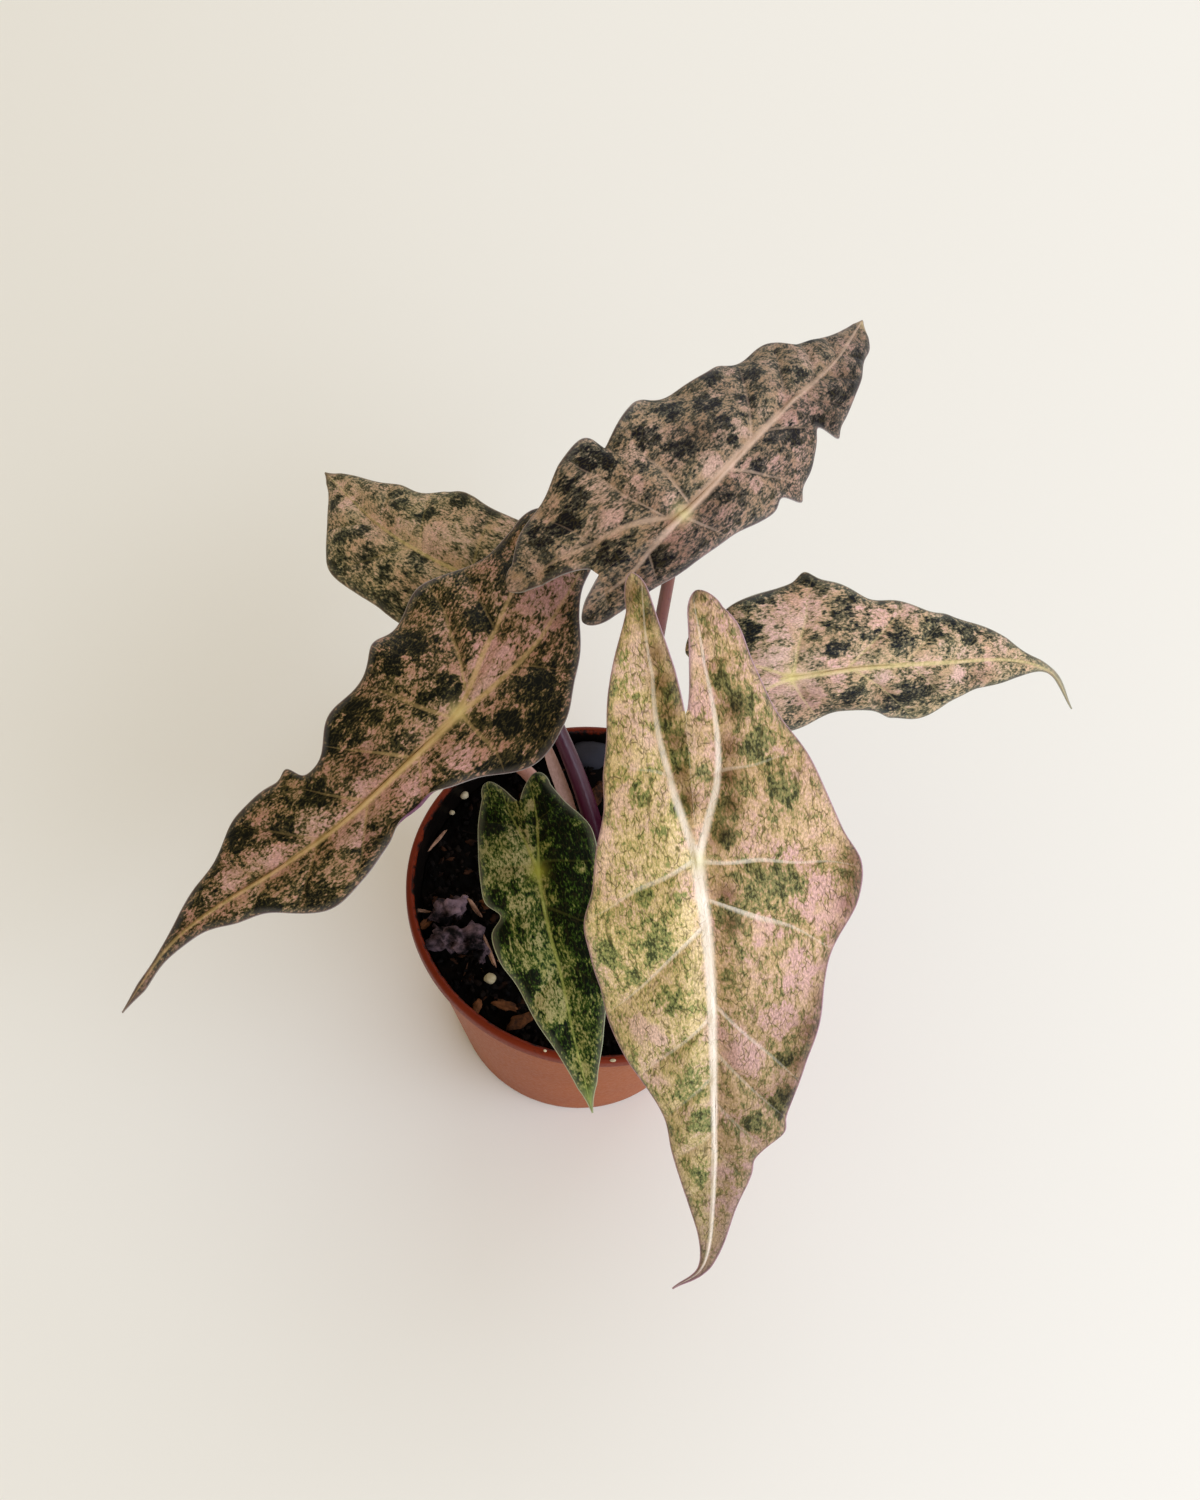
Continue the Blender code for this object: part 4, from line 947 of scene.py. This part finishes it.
def drill_drains(pot):
    """Cuts the drain holes out of the floor, from the ring channel under it."""
    drills = bmesh.new()
    for k in range(DRAIN_HOLES):
        turn = 2 * math.pi * (k + 0.5) / DRAIN_HOLES
        place = Vector((DRAIN_RING * math.cos(turn), DRAIN_RING * math.sin(turn), 3 * MM))
        bmesh.ops.create_cone(drills, cap_ends=True, segments=32, radius1=DRAIN_RADIUS, radius2=DRAIN_RADIUS,
                              depth=8 * MM, matrix=Matrix.Translation(place))
    mesh = bpy.data.meshes.new("drills")
    drills.to_mesh(mesh)
    drills.free()
    cutter = put("drills", mesh)
    cut = pot.modifiers.new("drains", "BOOLEAN")
    cut.operation, cut.solver, cut.object = "DIFFERENCE", "EXACT", cutter
    apply_modifiers(pot)
    bpy.data.objects.remove(cutter)


def build_pot():
    """The pot turned from its section: a rounded lip with a step under it, and a ring channel in the foot."""
    lip_base = POT_HEIGHT - LIP_HEIGHT
    lip_inner = RIM_RADIUS - LIP_WIDTH
    corner = FLOOR_TOP + 1 * MM
    profile = [(0, FLOOR_TOP), (wall_radius(FLOOR_TOP) - WALL - 1 * MM, FLOOR_TOP),
               (wall_radius(corner) - WALL, corner)]
    profile += [(wall_radius(z * MM) - WALL, z * MM) for z in range(10, 85, 5)]
    profile += [(lip_inner - 0.3 * MM, POT_HEIGHT - 4 * MM), (lip_inner, POT_HEIGHT - 2.2 * MM)]
    middle, half = RIM_RADIUS - LIP_WIDTH / 2, LIP_WIDTH / 2
    profile += [(middle - half * math.cos(a), POT_HEIGHT - half + half * math.sin(a))
                for a in np.linspace(0, math.pi, 13)]
    profile += [(RIM_RADIUS, lip_base + 0.9 * MM), (RIM_RADIUS - 0.2 * MM, lip_base + 0.3 * MM),
                (RIM_RADIUS - 0.6 * MM, lip_base), (wall_radius(lip_base) + 0.1 * MM, lip_base - 0.1 * MM),
                (wall_radius(lip_base - 0.6 * MM), lip_base - 0.6 * MM)]
    profile += [(wall_radius(z * MM), z * MM) for z in range(80, 2, -5)]
    inner, outer = CHANNEL
    profile += [(wall_radius(1.5 * MM), 1.6 * MM), (BASE_RADIUS + 0.1 * MM, 0.8 * MM),
                (BASE_RADIUS - 0.3 * MM, 0.2 * MM), (BASE_RADIUS - 1 * MM, 0), (outer, 0),
                (outer - 0.5 * MM, CHANNEL_DEPTH), (inner + 0.5 * MM, CHANNEL_DEPTH), (inner, 0), (0, 0)]
    turns = around(POT_SIDES)
    points = [(r * math.cos(t), r * math.sin(t), z) for r, z in profile[1:-1] for t in turns]
    ring, after, faces = ring_faces(len(profile) - 2, POT_SIDES)
    faces = [(a, d, c, b) for a, b, c, d in faces]  # the section runs down on the outside
    points += [(0, 0, profile[0][1]), (0, 0, profile[-1][1])]
    top, bottom = len(points) - 2, len(points) - 1
    faces += [(top, *pair) for pair in zip(ring[0].tolist(), after[0].tolist())]
    faces += [(bottom, *pair) for pair in zip(after[-1].tolist(), ring[-1].tolist())]
    pot = new_piece("dressed_pot", points, faces, [moulded_pot()])
    drill_drains(pot)
    pot.data.set_sharp_from_angle(angle=math.radians(50))
    return dress_piece(pot, "pot", "pot")


def moulded_pot():
    """Injection-moulded polypropylene in a terracotta colour: satin and even, with a faint flow mottle of
    22 mm, a grain of 1 mm, a redder lip, splashes of wet mix of 4 mm on the lip, and painted shade on the
    wall inside."""
    material, shader, add = new_material("moulded terracotta polypropylene", 0.14)
    place = add(PLACE).outputs["Object"]
    x, y, z = add(SPLIT, place).outputs
    flow = add(NOISE, place, 45.0, 4.0, 0.6)
    grain = add(NOISE, place, 900.0, 3.0, 0.6)
    crust = add(NOISE, place, 260.0, 4.0, 0.75)
    lip = add(EASE, z, 0.0846, 0.0856)
    wall = add(MIX, flow, "#843C08", "#9A4E14")
    colour = add(MIX, lip, wall, add(MIX, flow, "#5E1A04", "#78290E"))
    splash = add(TIMES, add(EASE, crust, 0.6, 0.74, 0.0, 0.55), lip)
    # Inside, the wall is painted near-black up to a few millimetres below the lip: painted shade over the
    # soil
    outwards = add(LENGTH, add(JOIN, x, y))
    middle = add(RANGE, z, 0.0, POT_HEIGHT, wall_radius(0) - WALL / 2, wall_radius(POT_HEIGHT) - WALL / 2)
    inside = add(MATH, outwards, middle, operation="LESS_THAN")
    shade_and_splash = add(RANGE, add(TIMES_PLUS, crust, -0.008, z), 0.0848, 0.0862, 1.0, 0.0)
    # The painted shade inside joins the splashes of mix on the lip
    shade_and_splash = add(MOST, add(TIMES, shade_and_splash, inside), splash)
    colour = add(MIX, shade_and_splash, colour, "#0B0705")
    finish_shader(shader, add, colour, grain, (0.38, 0.52), grain, 0.1, 0.4)
    return material


def lump_field(x, y):
    """Height of the soil's lumps and of its rise round the corm."""
    z = np.zeros(x.shape)
    for cx, cy, radius, height in SOIL_LUMPS_MM:
        away = np.hypot(x - cx * MM, y - cy * MM) / (radius * MM)
        z += height * MM * np.maximum(0, 1 - away**2) ** 1.5
    near = np.hypot(x - CORM_CENTRE.x, y - CORM_CENTRE.y) / (2.2 * CORM_RADIUS)
    return z + 2 * MM * np.maximum(0, 1 - near) ** 2


def soil_surface(x, y):
    """Height of the potting mix, with crumbs down to a millimetre."""
    z = np.array([
        0.5 * noise.noise(Vector((a, b, 0)) / (7 * MM)) + 1.0 * noise.noise(Vector((a, b, 1)) / (20 * MM))
        + 1.1 * noise.fractal(Vector((a, b, 2)) / (3.2 * MM), 0.7, 2.1, 4)
        for a, b in zip(x.ravel().tolist(), y.ravel().tolist())
    ]).reshape(x.shape) * MM
    return SOIL_TOP + z + lump_field(x, y)


def build_soil():
    """The potting mix: a crumbly surface on the body that fills the pot."""
    rings, sides = SOIL_RINGS, SOIL_SIDES
    outer = wall_radius(SOIL_TOP) - WALL - 0.3 * MM
    turns = around(sides)
    shares = 1 - np.arange(rings) / rings
    r = outer * shares[:, None] + 0 * turns[None, :]
    x, y = r * np.cos(turns), r * np.sin(turns)
    z = soil_surface(x, y)
    bottom = FLOOR_TOP + 0.3 * MM
    foot = wall_radius(bottom) - WALL - 0.3 * MM
    base = np.stack([foot * np.cos(turns), foot * np.sin(turns), bottom + 0 * turns], axis=-1)
    points = np.concatenate([base, np.stack([x, y, z], axis=-1).reshape(-1, 3), [[0, 0, z[-1].mean()]]])
    ring, after, faces = ring_faces(rings + 1, sides)
    faces += [(int(ring[-1, k]), int(after[-1, k]), len(points) - 1) for k in range(sides)]
    faces += [tuple(reversed(ring[0].tolist()))]
    return dress_piece(new_piece("dressed_soil", points, faces, [potting_mix()]), "soil", "soil")


def potting_mix():
    """Damp peat and composted bark: near-black, rough, with browner clumps of 6 mm and crumbs of 1.4 mm."""
    material, shader, add = new_material("damp peat and bark mix", 0.06)
    place = add(PLACE).outputs["Object"]
    clump = add(NOISE, place, 160.0, 5.0, 0.7)
    colour = add(MIX, add(EASE, clump, 0.45, 0.8), "#030201", "#0F0905")
    finish_shader(shader, add, colour, clump, (0.8, 1.0), add(CELLS, place, 700.0), 0.5, 0.7)
    return material


def bark_and_fibre(name, dark, light, scale):
    """Broken bark or fibre: matt, and lighter where it is fresh; on the clay lumps the lighter spots are
    painted highlights. Its scale is the splinters on a metre.
    """
    material, shader, add = new_material(name, 0.1)
    place = add(PLACE).outputs["Object"]
    fibre = add(NOISE, place, scale, 4.0, 0.7)
    share = add(TIMES_PLUS, fibre, 0.6, add(NOISE, place, scale / 6, 1.0))
    colour = add(MIX, add(EASE, share, 0.62, 1.0), dark, light)
    finish_shader(shader, add, colour, fibre, (0.7, 0.95), fibre, 0.3, 0.8)
    return material


def chunk_mesh(name, size, detail, roughness, seed):
    """A small broken lump: a ball stretched to a size in millimetres and pushed in and out."""
    rough = bmesh.new()
    bmesh.ops.create_icosphere(rough, subdivisions=detail, radius=0.5)
    for vert in rough.verts:
        bumps = noise.noise(vert.co * 2.3 + Vector((seed, 0, 0))) + 0.4 * noise.noise(vert.co * 7)
        vert.co = Vector([c * (1 + roughness * bumps) * (length * MM) for c, length in zip(vert.co, size)])
    mesh = bpy.data.meshes.new(name)
    rough.to_mesh(mesh)
    rough.free()
    return bpy.data.objects.new(name, mesh)


def strewing_tree():
    """A node tree that strews an object over the soil's top, one copy at each of many random points."""
    tree = bpy.data.node_groups.new("strewn over the soil", "GeometryNodeTree")
    for name, kind in (("Geometry", "Geometry"), ("Bit", "Object"), ("Per Square Metre", "Float"),
                       ("Smallest", "Float"), ("Largest", "Float"), ("Tilt", "Float"), ("Seed", "Int"),
                       ("Material", "Material")):
        tree.interface.new_socket(name, in_out="INPUT", socket_type=f"NodeSocket{kind}")
    tree.interface.new_socket("Geometry", in_out="OUTPUT", socket_type="NodeSocketGeometry")
    add = partial(add_node, tree)
    given = add(GIVEN).outputs
    points = add(SCATTER, given["Geometry"], given["Per Square Metre"], given["Seed"])
    bit = add(OBJECT, given["Bit"]).outputs["Geometry"]
    lean = add(JOIN, given["Tilt"], given["Tilt"], math.pi)
    turned = add(RANDOM_TURN, add(STRETCH, lean, (-1, -1, -1)), lean, given["Seed"])
    scale = add(RANDOM_SCALE, given["Smallest"], given["Largest"], given["Seed"])
    copies = add(COPY, points.outputs["Points"], bit, turned, scale)
    add(RESULT, add(PAINT, add(REALIZE, copies), given["Material"]))
    return tree


def soil_bed(soil, clearance):
    """A mesh of the soil's top, clear of the pot's wall and of the corm, for loose bits to lie on."""
    points = np.array([vert.co for vert in soil.data.vertices])
    from_wall = wall_radius(SOIL_TOP) - WALL - np.hypot(points[:, 0], points[:, 1])
    from_corm = np.hypot(points[:, 0] - CORM_CENTRE.x, points[:, 1] - CORM_CENTRE.y) - CORM_RADIUS
    clear = (from_wall > clearance) & (from_corm > clearance / 2) & (points[:, 2] > SOIL_TOP - 8 * MM)
    bed = bpy.data.meshes.new("soil bed")
    faces = [tuple(face.vertices) for face in soil.data.polygons if clear[list(face.vertices)].all()]
    bed.from_pydata(points.tolist(), [], faces)
    return bed


def strew(name, bed, tree, values):
    """A piece made of many copies of one bit lying on the soil."""
    host = put(name, bed)
    modifier = host.modifiers.new("strewn", "NODES")
    modifier.node_group = tree
    sockets = {item.name: item.identifier for item in tree.interface.items_tree if item.in_out == "INPUT"}
    for key, value in values.items():
        modifier[sockets[key]] = value
    bpy.context.view_layer.update()
    apply_modifiers(host)
    host.data.shade_smooth()
    return dress_piece(host, "soil")


# Single bits on the soil: their material, its two colours and its splinters on a metre, how rough their shape
# is, and where each lies, its size and its turn, in millimetres and degrees
BITS = {
    # The clay lumps are purple-grey; their near-black gaps are painted shade and their pale spots painted
    # highlights
    "lump": ("purple-grey clay lump", "#060405", "#846C72", 420.0, 1.6, (
        ((-45.5, -15.0, 84.6), (8.5, 7.0, 6.0), 20), ((-41.5, -12.0, 84.0), (5.0, 4.5, 4.0), 60),
        ((-43.5, -24.5, 85.0), (8.0, 6.5, 6.0), -30), ((-36.5, -24.5, 84.5), (7.5, 8.0, 6.0), 10),
        ((-32.5, -27.5, 83.5), (4.5, 4.0, 3.5), 80),
    )),
    "stone": ("dark rounded stone", "#0C0C0F", "#2E2E34", 200.0, 0.3, (
        ((-9.6, 50.0, 85.5), (15.0, 10.0, 8.0), 15),
    )),
    "pearl": ("cream slow-release bead", "#A69A78", "#DAD0B2", 300.0, 0.15, (
        ((-27.5, -35.3, 83.6), (3.7, 3.4, 3.3), 0), ((-47.7, 28.6, 82.4), (3.0, 2.6, 2.6), 40),
        ((-50.5, 21.8, 81.6), (1.9, 1.6, 1.6), 0), ((-27.0, -15.5, 82.4), (1.6, 1.4, 1.3), 0),
        ((13.9, -57.8, 89.8), (1.8, 1.0, 0.8), 10), ((-6.7, -58.4, 89.9), (1.1, 0.8, 0.6), -10),
    )),
    "fibre": ("torn coir fibre", "#4A2E20", "#B08A72", 500.0, 0.5, (
        ((-37.2, -11.5, 83.4), (8.5, 1.5, 1.1), -47), ((-29.7, -25.6, 83.2), (12.0, 1.4, 1.1), -60),
        ((-53.5, -16.0, 83.0), (6.5, 1.1, 0.9), 0), ((-53.0, 10.0, 83.0), (9.0, 1.2, 1.0), 65),
        ((-22.0, -30.0, 82.8), (8.0, 1.0, 0.8), -20),
    )),
    "chip": ("broken pine bark", "#1F110A", "#6E4428", 500.0, 0.8, (
        ((-15.9, -47.3, 83.0), (9.0, 4.0, 2.4), 35), ((-21.0, -43.0, 82.8), (7.0, 3.0, 2.0), -10),
        ((-32.2, -8.8, 83.2), (6.0, 3.5, 2.4), 15), ((-4.3, 35.0, 85.0), (8.0, 4.5, 3.0), 70),
        ((-51.0, -20.0, 82.8), (4.5, 2.6, 2.0), 50), ((-30.0, -45.0, 82.6), (5.5, 2.4, 1.8), 80),
    )),
}


def build_bits():
    """The lumps, beads, fibres and chips that show one by one on the soil."""
    for kind, (*stuff, rough, bits) in BITS.items():
        points, faces = [], []
        for seed, (place, size, turn) in enumerate(bits):
            bit = chunk_mesh(kind, size, 3, rough, 7.0 * seed + len(kind))
            spin = Matrix.Translation(Vector(place) * MM) @ Matrix.Rotation(math.radians(turn), 4, "Z")
            faces += [[len(points) + v for v in face.vertices] for face in bit.data.polygons]
            points += [tuple(spin @ vert.co) for vert in bit.data.vertices]
        dress_piece(new_piece(f"soil_{kind}s", points, faces, [bark_and_fibre(*stuff)]), "soil")


# What is strewn over the soil: its piece, material and two colours, the size of one bit in millimetres and
# the seed of its shape, how far it keeps from the wall in millimetres, and inputs of the strewing tree
STREWN = (
    ("soil_crumbs", "peat crumb", "#020101", "#150D08", (2, 1.6, 1.2), 3.0, 1.5,
     {"Per Square Metre": CRUMBS, "Smallest": 0.5, "Largest": 1.6, "Tilt": 1.5, "Seed": 4}),
    ("soil_bark", "bark chip", "#080403", "#3C2416", (4.5, 2.2, 0.9), 11.0, 3,
     {"Per Square Metre": 14000.0, "Smallest": 0.4, "Largest": 1.3, "Tilt": 0.4, "Seed": 9}),
    ("soil_coir", "coir fibre", "#120A06", "#5A3C2A", (7, 0.6, 0.5), 19.0, 4.5,
     {"Per Square Metre": 7000.0, "Smallest": 0.4, "Largest": 1.2, "Tilt": 0.3, "Seed": 15}),
)


def build_strewn(soil):
    """Crumbs of peat, chips of bark and short fibres over the whole surface."""
    tree = strewing_tree()
    for name, stuff, dark, light, size, seed, clearance, values in STREWN:
        bit, skin = chunk_mesh(stuff, size, 2, 0.9, seed), bark_and_fibre(stuff, dark, light, 500.0)
        strew(name, soil_bed(soil, clearance * MM), tree, {"Bit": bit, "Material": skin, **values})


def build_corm():
    """The corm's skin: ringed by old leaf scars, over the body that the petioles stand in."""
    sides, levels = 64, 40
    turns = around(sides)
    heights = np.linspace(CORM_BOTTOM, CORM_TOP, levels)
    share = (heights - CORM_BOTTOM) / (CORM_TOP - CORM_BOTTOM)
    radius = CORM_RADIUS * np.interp(share, (0, 0.08, 0.3, 0.6, 0.9, 1), (0.35, 0.7, 0.98, 1, 0.93, 0.86))
    points = []
    for k in range(levels):
        ring = 1 + 0.02 * math.sin(share[k] * 70)
        wobble = 1 + 0.03 * np.sin(3 * turns + share[k] * 4) + 0.015 * np.sin(11 * turns + share[k] * 9)
        r = radius[k] * ring * wobble
        points.append(np.stack([CORM_CENTRE.x + r * np.cos(turns), CORM_CENTRE.y + r * np.sin(turns),
                                heights[k] + 0 * turns], axis=-1))
    points = np.concatenate(points)
    ring, _, faces = ring_faces(levels, sides)
    faces += [tuple(reversed(ring[0].tolist())), tuple(ring[-1].tolist())]
    skin = dry_tissue("fibrous corm skin", (0.3, 0.3, 1.0), (900.0, 4.0, 0.7), ("#2B1A12", "#6E4C36"),
                      (0.7, 0.9), 0.4, 0.8)
    corm = new_piece("dressed_corm", points, faces, [skin])
    corm.data.set_sharp_from_angle(angle=math.radians(50))
    return dress_piece(corm, "corm", "corm")


def dry_tissue(name, stretch, fineness, codes, roughness, depth, strength):
    """Dead plant tissue, the corm's skin or the papery sheath: matt, with fibres round or along it."""
    material, shader, add = new_material(name)
    place = add(PLACE).outputs["Object"]
    fibre = add(NOISE, add(STRETCH, place, stretch), *fineness)
    finish_shader(shader, add, add(MIX, fibre, *codes), fibre, roughness, fibre, depth, strength)
    return material


def build_sheath():
    """The old sheath: a thin papery strip, hollow towards the stalk beside it."""
    steps, columns = 60, 14
    path = smooth(SHEATH_PATH_MM, np.linspace(0, len(SHEATH_PATH_MM) - 1, steps + 1))
    widths = smooth(SHEATH_WIDTHS, np.linspace(0, len(SHEATH_WIDTHS) - 1, steps + 1))[:, 0]
    inward, across = np.array((0.55, -0.83, 0.0)), np.array((0.83, 0.55, 0.0))
    shares = np.linspace(-1, 1, columns + 1)
    depth = -1.3 * (1 - shares**2) * SHEATH_HOLLOW
    wave = 0.12 * np.sin(np.arange(steps + 1) * 0.6)[:, None] * shares[None, :] ** 2
    middle = path[:, None, :] + across * (shares[None, :, None] * widths[:, None, None] / 2)
    middle = middle + inward * (depth[None, :, None] + wave[..., None])
    half = 0.35 * inward
    number = np.arange((steps + 1) * (columns + 1)).reshape(steps + 1, columns + 1)
    corners = number[:-1, :-1], number[:-1, 1:], number[1:, 1:], number[1:, :-1]
    quads = np.stack(corners, axis=-1).reshape(-1, 4)
    points, faces = close_sheet((middle + half).reshape(-1, 3), (middle - half).reshape(-1, 3), quads)
    papery = dry_tissue("papery dried sheath", (1.0, 1.0, 0.1), (1500.0, 3.0, 0.6), ("#8E6553", "#C9A795"),
                        (0.6, 0.8), 0.2, 0.6)
    sheath = new_piece("dressed_old_sheath", points * MM, faces.tolist(), [papery])
    return dress_piece(sheath, "sheath", "old_sheath")


def build_floor():
    """A plain pale surface under the plant, as wide as the view."""
    far = 3
    material, shader, _ = new_material("pale matt board", 0.2)
    feed(shader, ("Base Color", "Roughness"), ("#ECECE8", 0.9))
    corners = [(-far, -far, 0), (far, -far, 0), (far, far, 0), (-far, far, 0)]
    floor = new_piece("floor", corners, [(0, 1, 2, 3)], [material])
    floor.location.z = -0.0002


def add_light(name, place, aim, size, power, colour):
    """A soft square studio light aimed at a point."""
    lamp = bpy.data.lights.new(name, "AREA")
    lamp.shape = "SQUARE"
    lamp.size = size
    lamp.energy = power
    lamp.color = linear(colour)[:3]
    light = put(name, lamp)
    light.location = place
    light.rotation_euler = (Vector(aim) - Vector(place)).to_track_quat("-Z", "Y").to_euler()


def light_scene():
    """Cool light from a window in front on the right, a weaker one behind, and a warm room round them."""
    add_light("window", (1.2, -0.8, 0.85), (0, 0, 0.1), 1.8, 35, "#DFE9FF")
    add_light("behind", (0.25, 1.45, 0.9), (0, 0, 0.1), 1.8, 13.5, "#DFE9FF")
    world = bpy.data.worlds.new("room")
    world.use_nodes = True
    feed(world.node_tree.nodes["Background"], ("Color", "Strength"), ("#FFEDC6", 0.58))
    bpy.context.scene.world = world
    bpy.context.scene.view_settings.view_transform = "Standard"


def place_camera():
    """The photograph's view: from the front and well above, half a metre from the plant."""
    elevation, distance, aim_z = math.radians(62.4), 0.544, 0.0896
    back = Vector((0, -math.cos(elevation), math.sin(elevation)))
    rows = Matrix(((1, 0, 0), (0, math.sin(elevation), math.cos(elevation)), tuple(-back)))
    for degrees, axis in ((0.58, "Y"), (4.49, "X"), (-9.44, "Z")):
        rows = Matrix.Rotation(math.radians(degrees), 3, axis) @ rows
    data = bpy.data.cameras.new("camera")
    data.lens = 40.8
    data.sensor_width = 36
    data.clip_start = 0.01
    camera = put("camera", data)
    turn = Matrix((rows[0], rows[1], -rows[2])).transposed()
    camera.matrix_world = Matrix.Translation(Vector((0, 0, aim_z)) + back * distance) @ turn.to_4x4()
    bpy.context.scene.camera = camera


place_camera()
light_scene()
build_floor()
build_pot()
build_strewn(build_soil())
build_bits()
build_corm()
build_sheath()
for petiole in PETIOLES:
    build_petiole(petiole)
for blade in BLADES:
    build_blade(blade)
